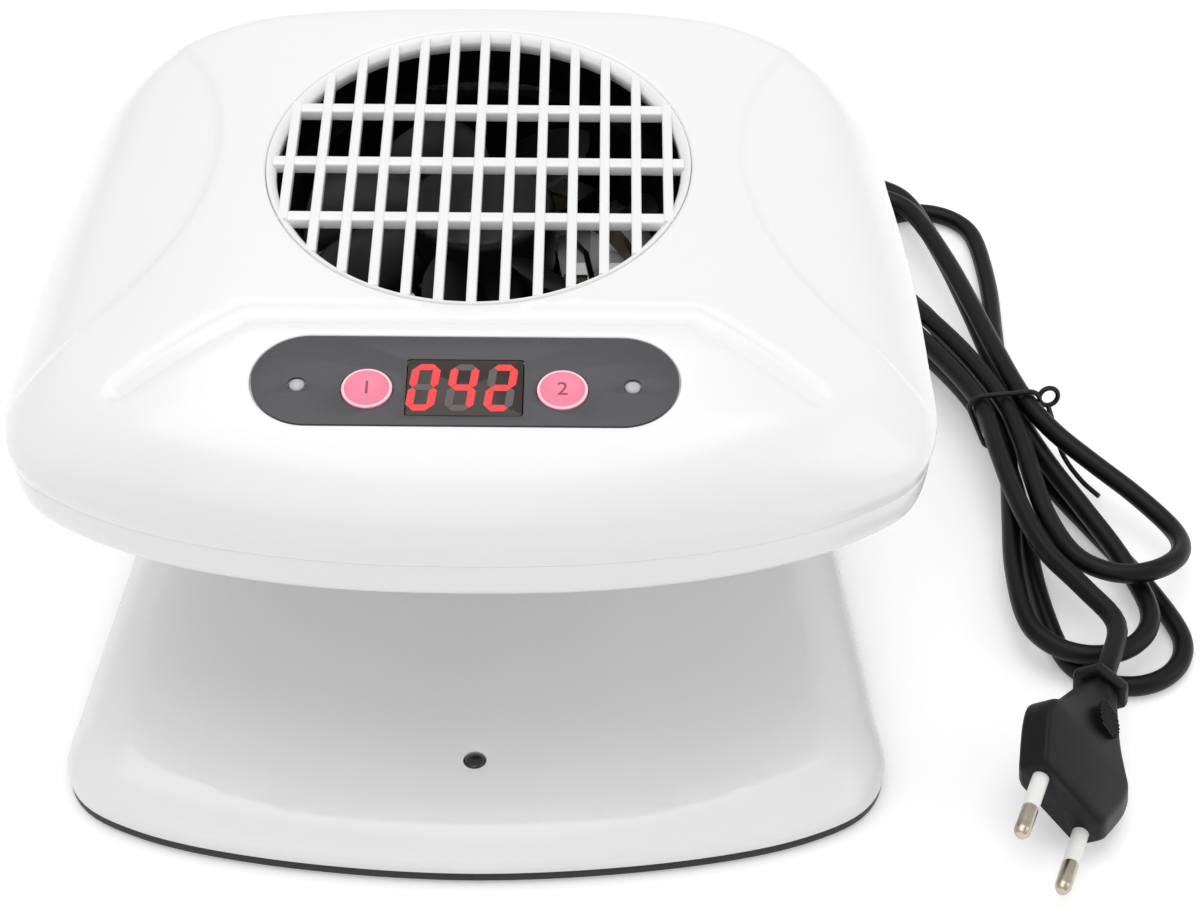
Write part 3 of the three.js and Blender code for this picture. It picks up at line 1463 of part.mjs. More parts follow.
function plugSection([share, widthShare, thicknessShare]) {
  const halfWidth = plugHalfWidth * widthShare;
  const halfThickness = plugHalfThickness * thicknessShare;
  const side = halfThickness * 0.55;
  const shoulder = halfWidth - halfThickness * 0.75;
  const corner = [[halfWidth, 0], [halfWidth, side], [shoulder, halfThickness], [0, halfThickness]];
  const upper = [...corner, [-shoulder, halfThickness], [-halfWidth, side], [-halfWidth, 0]];
  const lower = [
    [-halfWidth, -side], [-shoulder, -halfThickness], [0, -halfThickness], [shoulder, -halfThickness],
    [halfWidth, -side],
  ];
  return [...upper, ...lower].map(([x, y]) => [x, y, -share * plugLength]);
}

function plugBody() {
  const body = loft(plugBodyShares.map(plugSection));
  const flange = loft(plugFlangeShares.map(plugSection));
  const neck = rod(plugNeckRadius, -plugLength, -plugLength * 0.8, 0, 0, smallSegments);
  const bores = [-1, 1].map((side) => (
    rod(pinRadius + gap, -pinRoot - gap, overrun, side * pinHalfSpacing, 0, smallSegments)
  ));
  return cutFrom(joined([body, flange, neck]), bores);
}

const pin = turned([
  [0, -pinRoot], [pinCoreRadius, -pinRoot], [pinCoreRadius, pinSleeveLength + gap],
  [pinRadius, pinSleeveLength + gap],
  [pinRadius, pinLength - pinRadius * 0.5], [pinRadius * 0.6, pinLength], [0, pinLength],
], 0, 0, smallSegments);
const sleeve = rod(pinRadius, -pinRoot * 0.6, pinSleeveLength, 0, 0, smallSegments)
  .subtract(rod(pinCoreRadius + gap, -pinRoot, pinSleeveLength + overrun, 0, 0, smallSegments));
const pinPlaces = [[-pinHalfSpacing, 0, 0], [pinHalfSpacing, 0, 0]];

piece('plug_body', plugBody(), blackPlastic, plug);
copies('plug_pin', pin, steel, pinPlaces, plug);
copies('pin_sleeve', sleeve, sleeveWhite, pinPlaces, plug);

export default product;
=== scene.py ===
import bisect
import math

import bmesh
import bpy
from mathutils import Matrix, Vector, geometry


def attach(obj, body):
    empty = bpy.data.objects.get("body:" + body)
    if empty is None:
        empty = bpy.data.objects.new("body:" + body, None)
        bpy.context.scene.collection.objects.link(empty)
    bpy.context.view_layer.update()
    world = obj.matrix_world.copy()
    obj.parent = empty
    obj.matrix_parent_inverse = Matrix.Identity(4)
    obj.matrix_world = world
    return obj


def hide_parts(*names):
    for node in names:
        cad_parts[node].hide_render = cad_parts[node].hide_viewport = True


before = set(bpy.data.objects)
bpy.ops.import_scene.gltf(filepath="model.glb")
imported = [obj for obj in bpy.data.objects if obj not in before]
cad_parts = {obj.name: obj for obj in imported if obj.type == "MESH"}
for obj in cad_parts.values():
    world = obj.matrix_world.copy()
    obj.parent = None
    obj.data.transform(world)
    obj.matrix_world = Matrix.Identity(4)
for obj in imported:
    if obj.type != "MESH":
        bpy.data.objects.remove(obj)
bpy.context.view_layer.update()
scene = bpy.context.scene

# ---- Camera ----
# It looks down at the dryer from the front, a little right of its middle, through a long lens.
# The slight roll is the photograph's own.

MM = 0.001
CAMERA_PLACE = (29.3, -513.3, 501)
CAMERA_TILT = math.radians(48.5)
CAMERA_ROLL = math.radians(0.45)
CAMERA_LENS = 82.5
CAMERA_SENSOR = 36
NEAREST_SEEN = 20

camera_data = bpy.data.cameras.new("camera")
camera_data.lens = CAMERA_LENS
camera_data.sensor_width = CAMERA_SENSOR
camera_data.clip_start = NEAREST_SEEN * MM
camera = bpy.data.objects.new("camera", camera_data)
camera.matrix_world = (
    Matrix.Translation(Vector(CAMERA_PLACE) * MM)
    @ Matrix.Rotation(CAMERA_TILT, 4, "X")
    @ Matrix.Rotation(CAMERA_ROLL, 4, "Z")
)
scene.collection.objects.link(camera)
scene.camera = camera
scene.view_settings.view_transform = "Standard"

# ---- Mains cord ----
# A two-core lead in a round black PVC sheath, 5.2 mm thick. It leaves the boot at the back of the
# column, runs down to the table and is folded into a hank of three loops beside the dryer.

CORD_DIAMETER = 5.2
CORD_RADIUS = CORD_DIAMETER / 2
CORD_EXIT = (45, 120.7, 16)
CLEARANCE = 0.3
TABLE_LIFT = 0.15
LEAD_POINTS = [
    (45, 127, 15.8), (46, 134.5, 14), (49.4, 142.5, 10.6), (56, 148.7, 6.8), (64.5, 151.6, 3.9),
    (73.5, 150.6, 2.85), (81.6, 146.4, 2.75), (88.3, 139.7, 2.75), (94.4, 131.8, 2.75),
]
HANK_START = (98.4, 127.4, 2.75)
HANK_START_HEADING = (0.63, -0.777)
TIE_PLACE = (141.6, 57.7)
HANK_AXIS = math.radians(-81.2)
FOLD_RADIUS = 16
FOLD_STEPS = 8
RUN_STEPS = 4
CLIMB_SHARE = 0.62
LAYER_PITCH = 5.85
TIE_LIFT = 2.5
WAIST_SLOTS = [(-3.8, 2.3), (-3.8, 2.3), (-2.3, 3.8)]
TAIL_SLOT = -8.6
SLOT_LEAN_SHARE = 0.6
NEAR_FOLDS = [(78.8, 8.5), (72.5, 0.9), (51, 15.4)]
FAR_FOLDS = [(-91.5, -2.2), (-100, -19.2), (-86.7, -21.2)]
NEAR_DROOP = [0, 0, 4.5]
TAIL_POINTS = [(18, -8.9, 2.2), (36, -8.6, 1.4), (55, -6.2, 0.4), (70, 0, 0), (84, 4.4, 0.2)]
PLUG_FACE = (137.3, -86.5, 16.4)
PLUG_YAW = math.radians(20.5)
PLUG_ROLL = math.radians(52.8)
PLUG_LENGTH = 44
CORD_SPAN_STEPS = 5
CLOUD_DETAIL = 4
GRAIN_DETAIL = 2

ALONG = Vector((math.cos(HANK_AXIS), math.sin(HANK_AXIS)))
ACROSS = Vector((-math.sin(HANK_AXIS), math.cos(HANK_AXIS)))


def smooth_step(value, low, high):
    """0 up to the low value, 1 from the high one, and a soft slope between them."""
    share = min(max((value - low) / (high - low), 0), 1)
    return share * share * (3 - 2 * share)


def mixed(a, b, share):
    """The value at this share of the way from a to b."""
    return a + (b - a) * share


def hank_place(spot, height):
    """A place in the hank, along and across it from the tie, as a point over the table."""
    x, y = Vector(TIE_PLACE) + spot[0] * ALONG + spot[1] * ACROSS
    return Vector((x, y, height))


def in_hank(point):
    """How far along and across the hank a point lies from the tie."""
    reach = Vector(point[:2]) - Vector(TIE_PLACE)
    return Vector((reach.dot(ALONG), reach.dot(ACROSS)))


def half_run(start, start_heading, end, end_heading, low, high, height_share=1.0):
    """One half of a run, between a fold's end and the tie, as a smooth curve in plan."""
    reach = (end - start).length
    points = []
    for step in range(1, RUN_STEPS + 1):
        t = step / RUN_STEPS
        spot = (
            (2 * t**3 - 3 * t**2 + 1) * start + (t**3 - 2 * t**2 + t) * reach * start_heading
            + (3 * t**2 - 2 * t**3) * end + (t**3 - t**2) * reach * end_heading
        )
        points.append(hank_place(spot, mixed(low, high, smooth_step(t, 0, height_share))))
    return points


def fold_frame(centre):
    """A fold's centre, its way out from the tie and the way across it."""
    out = Vector(centre).normalized()
    return Vector(centre), out, Vector((-out.y, out.x))


def fold_turn(fold, start_height, end_height):
    """The half turn of the cord round a fold, which changes height in its second half."""
    centre, out, side = fold
    points = []
    for step in range(FOLD_STEPS + 1):
        angle = step / FOLD_STEPS * math.pi
        spot = centre + FOLD_RADIUS * (math.sin(angle) * out - math.cos(angle) * side)
        height = mixed(start_height, end_height, smooth_step(angle, math.pi / 2, math.pi))
        points.append(hank_place(spot, height))
    return points


def fold_end(fold, which):
    """One of the two ends of a fold: -1 where the cord comes in, 1 where it goes out."""
    return fold[0] + fold[2] * which * FOLD_RADIUS


def leaning(before, after):
    """The heading of a run where the tie holds it, which leans towards the run's two ends."""
    run = after - before
    return Vector((math.copysign(1, run.x), SLOT_LEAN_SHARE * run.y / abs(run.x))).normalized()


def through(points, per_span):
    """A centripetal Catmull-Rom curve through points."""
    ends = [2 * points[0] - points[1], *points, 2 * points[-1] - points[-2]]
    line = [points[0]]
    for before, start, end, after in zip(ends, ends[1:], ends[2:], ends[3:]):
        d0, d1, d2 = (
            max((b - a).length ** 0.5, 1e-4) for a, b in ((before, start), (start, end), (end, after))
        )
        leave = ((start - before) / d0 - (end - before) / (d0 + d1) + (end - start) / d1) * d1
        reach = ((end - start) / d1 - (after - start) / (d1 + d2) + (after - end) / d2) * d1
        for step in range(1, per_span + 1):
            t = step / per_span
            line.append(
                start + leave * t + (3 * (end - start) - 2 * leave - reach) * t**2
                + (2 * (start - end) + leave + reach) * t**3
            )
    return line


def hank_route():
    """The cord from its way into the hank to the plug: three loops, then the tail over them."""
    floor_level = CORD_RADIUS + TABLE_LIFT
    start_heading = Vector((
        Vector(HANK_START_HEADING).dot(ALONG), Vector(HANK_START_HEADING).dot(ACROSS),
    ))
    spot = in_hank(HANK_START) + start_heading * CORD_DIAMETER
    points = [Vector(HANK_START), hank_place(spot, floor_level)]
    heading, low = start_heading, floor_level
    for layer, (left, right) in enumerate(WAIST_SLOTS):
        left_slot, right_slot = Vector((0, left)), Vector((0, right))
        near, far = fold_frame(NEAR_FOLDS[layer]), fold_frame(FAR_FOLDS[layer])
        height = floor_level + layer * LAYER_PITCH
        waist = height + TIE_LIFT
        near_end = height - NEAR_DROOP[layer]
        forward = leaning(spot, fold_end(near, -1))
        back = leaning(fold_end(near, 1), fold_end(far, -1))
        climb = CLIMB_SHARE if layer else 1
        points += half_run(spot, heading, left_slot, forward, low, waist, climb)
        points += half_run(left_slot, forward, fold_end(near, -1), near[1], waist, height)[:-1]
        points += fold_turn(near, height, near_end)
        points += half_run(fold_end(near, 1), -near[1], right_slot, back, near_end, waist)
        points += half_run(right_slot, back, fold_end(far, -1), far[1], waist, height)[:-1]
        points += fold_turn(far, height, height)
        spot, heading, low = fold_end(far, 1), -far[1], height
    top = low
    end_heading = leaning(spot, Vector(TAIL_POINTS[0][:2]))
    points += half_run(spot, heading, Vector((0, TAIL_SLOT)), end_heading, top, top + TIE_LIFT)
    points += [hank_place(point, top + point[2]) for point in TAIL_POINTS]
    aim = Vector((math.sin(PLUG_YAW), math.cos(PLUG_YAW), 0))
    neck = Vector(PLUG_FACE) + aim * (PLUG_LENGTH + CLEARANCE)
    return [*points, neck + aim * CORD_DIAMETER, neck]


def colour_of(code):
    """A colour for a shader, from its usual six-digit code."""
    parts = [int(code[i:i + 2], 16) / 255 for i in (0, 2, 4)]
    return (*(c / 12.92 if c <= 0.04045 else ((c + 0.055) / 1.055) ** 2.4 for c in parts), 1)


def feed(tree, node, inputs):
    """Sets a node's inputs to values, or links them from (node, socket) pairs."""
    for socket, value in inputs.items():
        if isinstance(value, tuple) and hasattr(value[0], "outputs"):
            tree.links.new(value[0].outputs[value[1]], node.inputs[socket])
        else:
            node.inputs[socket].default_value = value


def step_node(tree, kind, inputs=None, **settings):
    """A new node with its settings and its inputs."""
    node = tree.nodes.new(kind)
    for setting, value in settings.items():
        setattr(node, setting, value)
    feed(tree, node, inputs or {})
    return node


def moulded(
    name, light, dark, roughness, spread=0.05, grain=0.6, relief=0.01, cloud=25.0, specular=0.5, **sockets,
):
    """A finish of moulded material: two close tones in soft clouds, an uneven gloss and a fine grain.

    grain, relief and cloud are the grain's size, its height and the clouds' size in millimetres.
    """
    material = bpy.data.materials.new(name)
    material.use_nodes = True
    tree = material.node_tree
    spot = (step_node(tree, "ShaderNodeTexCoord"), "Object")
    clouds, fine = (
        step_node(tree, "ShaderNodeTexNoise", {"Vector": spot, "Scale": 1 / (size * MM), "Detail": detail})
        for size, detail in ((cloud, CLOUD_DETAIL), (grain, GRAIN_DETAIL))
    )
    tones = step_node(tree, "ShaderNodeMix", {
        "Factor": (clouds, "Fac"), 6: colour_of(dark), 7: colour_of(light),
    }, data_type="RGBA")
    gloss = step_node(tree, "ShaderNodeMapRange", {
        "Value": (clouds, "Fac"), "To Min": roughness - spread, "To Max": roughness + spread,
    })
    bump = step_node(tree, "ShaderNodeBump", {
        "Strength": 1, "Distance": relief * MM, "Height": (fine, "Fac"),
    })
    feed(tree, tree.nodes["Principled BSDF"], {
        "Base Color": (tones, 2), "Roughness": (gloss, "Result"), "Normal": (bump, "Normal"),
        "Specular IOR Level": specular,
        **{socket.replace("_", " "): value for socket, value in sockets.items()},
    })
    return material


def tube_curve(name, lines, radius, sides=6, closed=()):
    """A curve object with a round section along one or more lines of points."""
    data = bpy.data.curves.new(name, "CURVE")
    data.dimensions = "3D"
    data.bevel_depth = radius * MM
    data.bevel_resolution = sides
    data.use_fill_caps = True
    for number, line in enumerate(lines):
        spline = data.splines.new("POLY")
        spline.points.add(len(line) - 1)
        for point, place in zip(spline.points, line):
            point.co = (*(Vector(place) * MM), 1)
        spline.use_cyclic_u = number in closed
        spline.use_smooth = True
    piece = bpy.data.objects.new(name, data)
    scene.collection.objects.link(piece)
    return piece


def painted(piece, material):
    """The piece with this material alone."""
    piece.data.materials.clear()
    piece.data.materials.append(material)
    return piece


def fit(piece, slot, *nodes, body="housing"):
    """Puts a piece on its body, in place of the frame's nodes. Its slot is not used."""
    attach(piece, body)
    if nodes:
        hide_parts(*nodes)
    return piece


cord_points = [Vector(CORD_EXIT), *(Vector(point) for point in LEAD_POINTS), *hank_route()]
cord_line = through(cord_points, CORD_SPAN_STEPS)
black_pvc = moulded(
    "black_pvc", "0d0d0e", "09090a", 0.4, spread=0.06, grain=0.9, relief=0.02, cloud=18, specular=0.22,
)
mains_cord = painted(tube_curve("mains_cord", [cord_line], CORD_RADIUS), black_pvc)
fit(mains_cord, "cord", "cord_lead", "cord_hank")

# ---- Twist tie ----
# A black plastic-coated wire drawn tight round the waist of the hank. Its ends are twisted into
# an eye, and one end is left long.

TIE_WIRE_RADIUS = 0.7
TIE_STEPS = 80
TIE_EYE_ANGLE = math.radians(18)
TIE_EYE_RADIUS = 2.6
TIE_EYE_LEAN = 0.5
TIE_TAIL_POINTS = [(0, 0, 2.6), (0.6, 6, 5.6), (1.4, 13, 9.6), (4.6, 21, 12.4), (8, 27, 13.4)]
TIE_TAIL_STEPS = 8


def full_turn(count):
    """Even angles round a circle."""
    return [i / count * 2 * math.pi for i in range(count)]


def to_mesh(piece, name=None):
    """A plain mesh object in place of one that has modifiers, or is a curve or text."""
    bpy.context.view_layer.update()
    graph = bpy.context.evaluated_depsgraph_get()
    mesh = bpy.data.meshes.new_from_object(piece.evaluated_get(graph), depsgraph=graph)
    mesh.transform(piece.matrix_world)
    label = name or piece.name
    bpy.data.objects.remove(piece)
    solid = bpy.data.objects.new(label, mesh)
    scene.collection.objects.link(solid)
    return solid


waist_level = CORD_RADIUS + TABLE_LIFT + TIE_LIFT
strands = []
for layer, pair in enumerate(WAIST_SLOTS):
    strands += [(across, waist_level + layer * LAYER_PITCH) for across in pair]
strands.append((TAIL_SLOT, waist_level + (len(WAIST_SLOTS) - 1) * LAYER_PITCH))


def round_strands(angle):
    """Where the tie runs in this direction, round the strand that lies furthest out."""
    out = Vector((math.cos(angle), math.sin(angle)))
    furthest = max(strands, key=lambda strand: Vector(strand).dot(out))
    return Vector(furthest) + out * (CORD_RADIUS + TIE_WIRE_RADIUS + CLEARANCE)


tie_turn = full_turn(TIE_STEPS)
tie_hoop = [(spot.x, 0, spot.y) for spot in map(round_strands, tie_turn)]
eye_side, eye_height = round_strands(TIE_EYE_ANGLE)
eye_side += TIE_EYE_RADIUS
tie_eye = []
for a in tie_turn[::2]:
    across, up = TIE_EYE_RADIUS * math.cos(a), TIE_EYE_RADIUS * math.sin(a)
    tie_eye.append((eye_side + across, TIE_EYE_LEAN * math.sin(a), eye_height + up))
tie_tail = through([
    Vector((eye_side + across, -along, eye_height - drop)) for across, along, drop in TIE_TAIL_POINTS
], TIE_TAIL_STEPS)
tie_curve = tube_curve("twist_tie_wire", [tie_hoop, tie_eye, tie_tail], TIE_WIRE_RADIUS, 3, closed=(0, 1))
tie_curve.matrix_world = (
    Matrix.Translation(hank_place((0, 0), 0) * MM) @ Matrix.Rotation(HANK_AXIS + math.pi / 2, 4, "Z")
)
coated_wire = moulded(
    "coated_wire", "161617", "0f0f10", 0.42, grain=0.5, relief=0.02, cloud=6, specular=0.35,
)
tie = fit(painted(to_mesh(tie_curve), coated_wire), "cord", "twist_tie")

# ---- Mains plug ----
# A flat two-pin plug moulded on the cord in black PVC: broad at its face, waisted where fingers
# hold it, with grip ribs and a flange at its neck. The pins are plated and half sleeved.

PLUG_HALF_WIDTH = 17.6
PLUG_HALF_THICKNESS = 6.85
PLUG_NECK_RADIUS = 4.3
PLUG_STATIONS = [
    (0, 0.7, 0.84), (0.012, 0.745, 0.93), (0.035, 0.785, 1), (0.16, 0.9, 1), (0.3, 1, 1), (0.385, 1, 1),
    (0.45, 0.86, 0.985), (0.55, 0.65, 0.92), (0.64, 0.52, 0.85), (0.72, 0.43, 0.78), (0.8, 0.34, 0.71),
    (0.86, 0.28, 0.67), (0.9, 0.27, 0.66),
]
PLUG_FLANGE = [
    (0.885, 0.33, 0.9), (0.893, 0.37, 0.96), (0.91, 0.385, 0.985), (0.935, 0.385, 0.985),
    (0.95, 0.37, 0.96), (0.958, 0.33, 0.9),
]
PLUG_SHOULDER = 0.75
PLUG_SIDE = 0.55
PLUG_ROUNDING = 1.1
PLUG_ROUNDING_FADE = 1.6
PLUG_NECK_START = 0.8
PLUG_NECK_EASE = (0.9, 1.2)
PLUG_NECK_ROUNDING = 0.5
STATION_STEPS = 3
PIN_HALF_SPACING = 9.3
PIN_LENGTH = 19
PIN_RADIUS = 2
PIN_ROOT = -1
PIN_NARROWING = 0.25
PIN_TAPER = 1.5
PIN_TIP_SHARE = 0.62
PIN_ROUNDING = 0.5
SLEEVE_LENGTH = 10
SLEEVE_ROOT = -0.8
SLEEVE_BEVEL = (0.2, 0.1)
SLEEVE_OVERLAP = 0.05
SLEEVE_ROUNDING = 0.2
GRIP_SIZES = {
    "Count": 9, "Pitch": 0.95 * MM, "Circle": 4.6 * MM, "Width": 0.45 * MM, "Depth": 0.7 * MM,
    "Rounding": 0.15 * MM,
}
GRIP_FALL = (0.2, 0.25)
GRIP_SLOPE = math.atan2(PLUG_HALF_THICKNESS * GRIP_FALL[0], PLUG_LENGTH * GRIP_FALL[1])
GRIP_HEIGHT_SHARE = 0.845
GRIP_LENGTH_SHARE = 0.63
MOST_EASED = 0.45


def mesh_piece(name, vertices, faces, material=None, sharp=None):
    """A mesh object from points in millimetres, smooth but for edges over the sharp angle."""
    data = bpy.data.meshes.new(name)
    data.from_pydata([Vector(point) * MM for point in vertices], [], faces)
    data.validate()
    data.shade_smooth()
    if sharp is not None:
        data.set_sharp_from_angle(angle=math.radians(sharp))
    if material:
        data.materials.append(material)
    piece = bpy.data.objects.new(name, data)
    scene.collection.objects.link(piece)
    return piece


def place_mesh(piece, matrix):
    """Puts a piece's place, given in millimetres, in its mesh."""
    spot = matrix.copy()
    spot.translation *= MM
    piece.data.transform(spot)
    if spot.to_3x3().determinant() < 0:
        piece.data.flip_normals()
    return piece


def turn_out(data):
    """Makes a closed mesh's faces point outwards."""
    shell = bmesh.new()
    shell.from_mesh(data)
    bmesh.ops.remove_doubles(shell, verts=shell.verts, dist=1e-7)
    bmesh.ops.recalc_face_normals(shell, faces=shell.faces)
    shell.to_mesh(data)
    shell.free()


def lofted(name, rings, material=None, sharp=None, capped=True):
    """A closed body through rings of points, with ends, or closed on itself as a ring is."""
    count = len(rings[0])
    points = [Vector(point) for ring in rings for point in ring]
    faces = []
    for lower in range(len(rings) - (1 if capped else 0)):
        upper = (lower + 1) % len(rings)
        for i in range(count):
            after = (i + 1) % count
            faces.append((lower * count + i, lower * count + after, upper * count + after, upper * count + i))
    if capped:
        for ring, turn in ((0, -1), (len(rings) - 1, 1)):
            middle = sum((Vector(point) for point in rings[ring]), Vector()) / count
            points.append(middle)
            for i in range(count):
                edge = (ring * count + i, ring * count + (i + 1) % count)[::turn]
                faces.append((*edge, len(points) - 1))
    piece = mesh_piece(name, points, faces, material)
    turn_out(piece.data)
    piece.data.shade_smooth()
    if sharp is not None:
        piece.data.set_sharp_from_angle(angle=math.radians(sharp))
    return piece


def eased(profile, radius, steps=4):
    """A profile of points with its corners rounded off, up to that radius."""
    points = [Vector(point) for point in profile]
    line = [points[0]]
    for before, corner, after in zip(points, points[1:], points[2:]):
        into, out = before - corner, after - corner
        reach = min(radius, into.length * MOST_EASED, out.length * MOST_EASED)
        start, end = corner + into.normalized() * reach, corner + out.normalized() * reach
        for step in range(steps + 1):
            t = step / steps
            line.append(start * (1 - t) ** 2 + corner * 2 * t * (1 - t) + end * t**2)
    return [*line, points[-1]]


def level_ring(radius, height, segments):
    """A circle's points round Z at this height."""
    return [(radius * math.cos(a), radius * math.sin(a), height) for a in full_turn(segments)]


def turned(name, profile, material=None, segments=48, sharp=35):
    """A round body about Z from a profile of radius and height whose two ends lie on the axis."""
    rings = [level_ring(radius, height, segments) for radius, height in profile[1:-1]]
    piece = lofted(name, rings, material, sharp)
    data = piece.data
    ends = sorted(data.vertices, key=lambda vertex: vertex.co.xy.length)[:2]
    heights = sorted((profile[0][1], profile[-1][1]))
    for vertex, height in zip(sorted(ends, key=lambda vertex: vertex.co.z), heights):
        vertex.co.z = height * MM
    return piece


def plug_ring(share, width_share, thickness_share):
    """The plug's outline at this share of its length: a flat bar with sloped shoulders."""
    half_width = PLUG_HALF_WIDTH * width_share
    half_thickness = PLUG_HALF_THICKNESS * thickness_share
    side, shoulder = half_thickness * PLUG_SIDE, half_width - half_thickness * PLUG_SHOULDER
    corner = [(half_width, -side), (half_width, side), (shoulder, half_thickness)]
    outline = [*corner, *((-x, -y) for x, y in corner)]
    rounding = PLUG_ROUNDING * min(1, width_share * PLUG_ROUNDING_FADE)
    closed = eased([*outline[-1:], *outline, outline[0]], rounding, steps=3)[1:-1]
    return [(x, y, -share * PLUG_LENGTH) for x, y in closed]


def joined(name, pieces, operation="UNION"):
    """The first piece with the others added to it or cut from it, as one plain mesh."""
    whole = pieces[0]
    for other in pieces[1:]:
        step = whole.modifiers.new("with_" + other.name, "BOOLEAN")
        step.operation = operation
        step.solver = "EXACT"
        step.object = other
    solid = to_mesh(whole, name)
    for other in pieces[1:]:
        bpy.data.objects.remove(other)
    return solid


def smoothed(piece, sharp=40):
    """The piece, smooth but for edges over the sharp angle."""
    piece.data.shade_smooth()
    piece.data.set_sharp_from_angle(angle=math.radians(sharp))
    return piece


plug_place = (
    Matrix.Translation(PLUG_FACE)
    @ Matrix.Rotation(-PLUG_YAW, 4, "Z")
    @ Matrix.Rotation(PLUG_ROLL, 4, "Y")
    @ Matrix.Rotation(math.pi / 2, 4, "X")
)
plug_stations = [
    *PLUG_STATIONS[:2], *through([Vector(station) for station in PLUG_STATIONS[2:]], STATION_STEPS),
]
plug_shell = lofted("plug_shell", [plug_ring(*station) for station in plug_stations])
plug_flange = lofted("plug_flange", [plug_ring(*station) for station in PLUG_FLANGE])
plug_neck = turned("plug_neck", eased([
    (0, -PLUG_LENGTH), (PLUG_NECK_RADIUS - PLUG_NECK_EASE[0], -PLUG_LENGTH),
    (PLUG_NECK_RADIUS, -PLUG_LENGTH + PLUG_NECK_EASE[1]), (PLUG_NECK_RADIUS, -PLUG_LENGTH * PLUG_NECK_START),
    (0, -PLUG_LENGTH * PLUG_NECK_START),
], PLUG_NECK_ROUNDING))
plug_body = smoothed(joined("plug", [plug_shell, plug_flange, plug_neck]))


def new_tree(name, sizes):
    """A geometry tree with named number inputs, and the node that gives them."""
    tree = bpy.data.node_groups.new(name, "GeometryNodeTree")
    tree.interface.new_socket("Geometry", in_out="INPUT", socket_type="NodeSocketGeometry")
    for label, value in sizes.items():
        kind = "NodeSocketInt" if isinstance(value, int) else "NodeSocketFloat"
        tree.interface.new_socket(label, in_out="INPUT", socket_type=kind).default_value = value
    tree.interface.new_socket("Geometry", in_out="OUTPUT", socket_type="NodeSocketGeometry")
    return tree, tree.nodes.new("NodeGroupInput")


def ended(tree, shape):
    """The tree, ended with its copies made real and its material set."""
    whole = step_node(tree, "GeometryNodeRealizeInstances", {0: (shape, 0)})
    covered = step_node(tree, "GeometryNodeSetMaterial", {0: (whole, 0)})
    step_node(tree, "NodeGroupOutput", {0: (covered, 0)})
    return tree


def worked(tree, operation, *values):
    """The result of a math node, as a pair to link from."""
    return step_node(tree, "ShaderNodeMath", dict(enumerate(values)), operation=operation), 0


def copied(tree, points, part, **inputs):
    """A part's copies at points, as a node."""
    return step_node(tree, "GeometryNodeInstanceOnPoints", {"Points": points, "Instance": part, **inputs})


def grow(name, tree, sizes, material, base=None):
    """A plain mesh from a geometry tree with these sizes, set before its first evaluation."""
    piece = bpy.data.objects.new(name, base or bpy.data.meshes.new(name + "_base"))
    scene.collection.objects.link(piece)
    maker = piece.modifiers.new(tree.name, "NODES")
    maker.node_group = tree
    ids = {item.name: item.identifier for item in tree.interface.items_tree if item.in_out == "INPUT"}
    for label, value in sizes.items():
        maker[ids[label]] = value
    return painted(to_mesh(piece), material)


def bar_tree():
    """Parallel rounded bars in a row, each as long as the circle is wide where it lies."""
    tree, given = new_tree("rounded_bars", {
        "Count": 3, "Pitch": 1.0, "Circle": 10.0, "Width": 1.0, "Depth": 1.0, "Rounding": 0.2,
    })
    gaps = worked(tree, "SUBTRACT", (given, "Count"), 1.0)
    first_x = worked(tree, "MULTIPLY", worked(tree, "MULTIPLY", gaps, (given, "Pitch")), -0.5)
    start = step_node(tree, "ShaderNodeCombineXYZ", {"X": first_x})
    pace = step_node(tree, "ShaderNodeCombineXYZ", {"X": (given, "Pitch")})
    row = step_node(tree, "GeometryNodeMeshLine", {
        "Count": (given, "Count"), "Start Location": (start, 0), "Offset": (pace, 0),
    }, mode="OFFSET")
    spot = step_node(tree, "GeometryNodeInputPosition")
    across = step_node(tree, "ShaderNodeSeparateXYZ", {0: (spot, 0)})
    squares = [worked(tree, "MULTIPLY", side, side) for side in ((given, "Circle"), (across, "X"))]
    half_chord = worked(tree, "SQRT", worked(tree, "SUBTRACT", *squares))
    stretch = step_node(tree, "ShaderNodeCombineXYZ", {"X": 1.0, "Y": half_chord, "Z": 1.0})
    unit = step_node(tree, "GeometryNodeCurvePrimitiveLine", {"Start": (0, -1, 0), "End": (0, 1, 0)})
    placed = copied(tree, (row, 0), (unit, 0), Scale=(stretch, 0))
    lines = step_node(tree, "GeometryNodeRealizeInstances", {0: (placed, 0)})
    upright = step_node(tree, "GeometryNodeSetCurveNormal", {"Curve": (lines, 0)}, mode="Z_UP")
    section = step_node(tree, "GeometryNodeCurvePrimitiveQuadrilateral", {
        "Width": (given, "Width"), "Height": (given, "Depth"),
    })
    soft = step_node(tree, "GeometryNodeFilletCurve", {
        "Curve": (section, 0), "Count": 4, "Radius": (given, "Rounding"),
    }, mode="POLY")
    return ended(tree, step_node(tree, "GeometryNodeCurveToMesh", {
        "Curve": (upright, 0), "Profile Curve": (soft, 0), "Fill Caps": True,
    }))


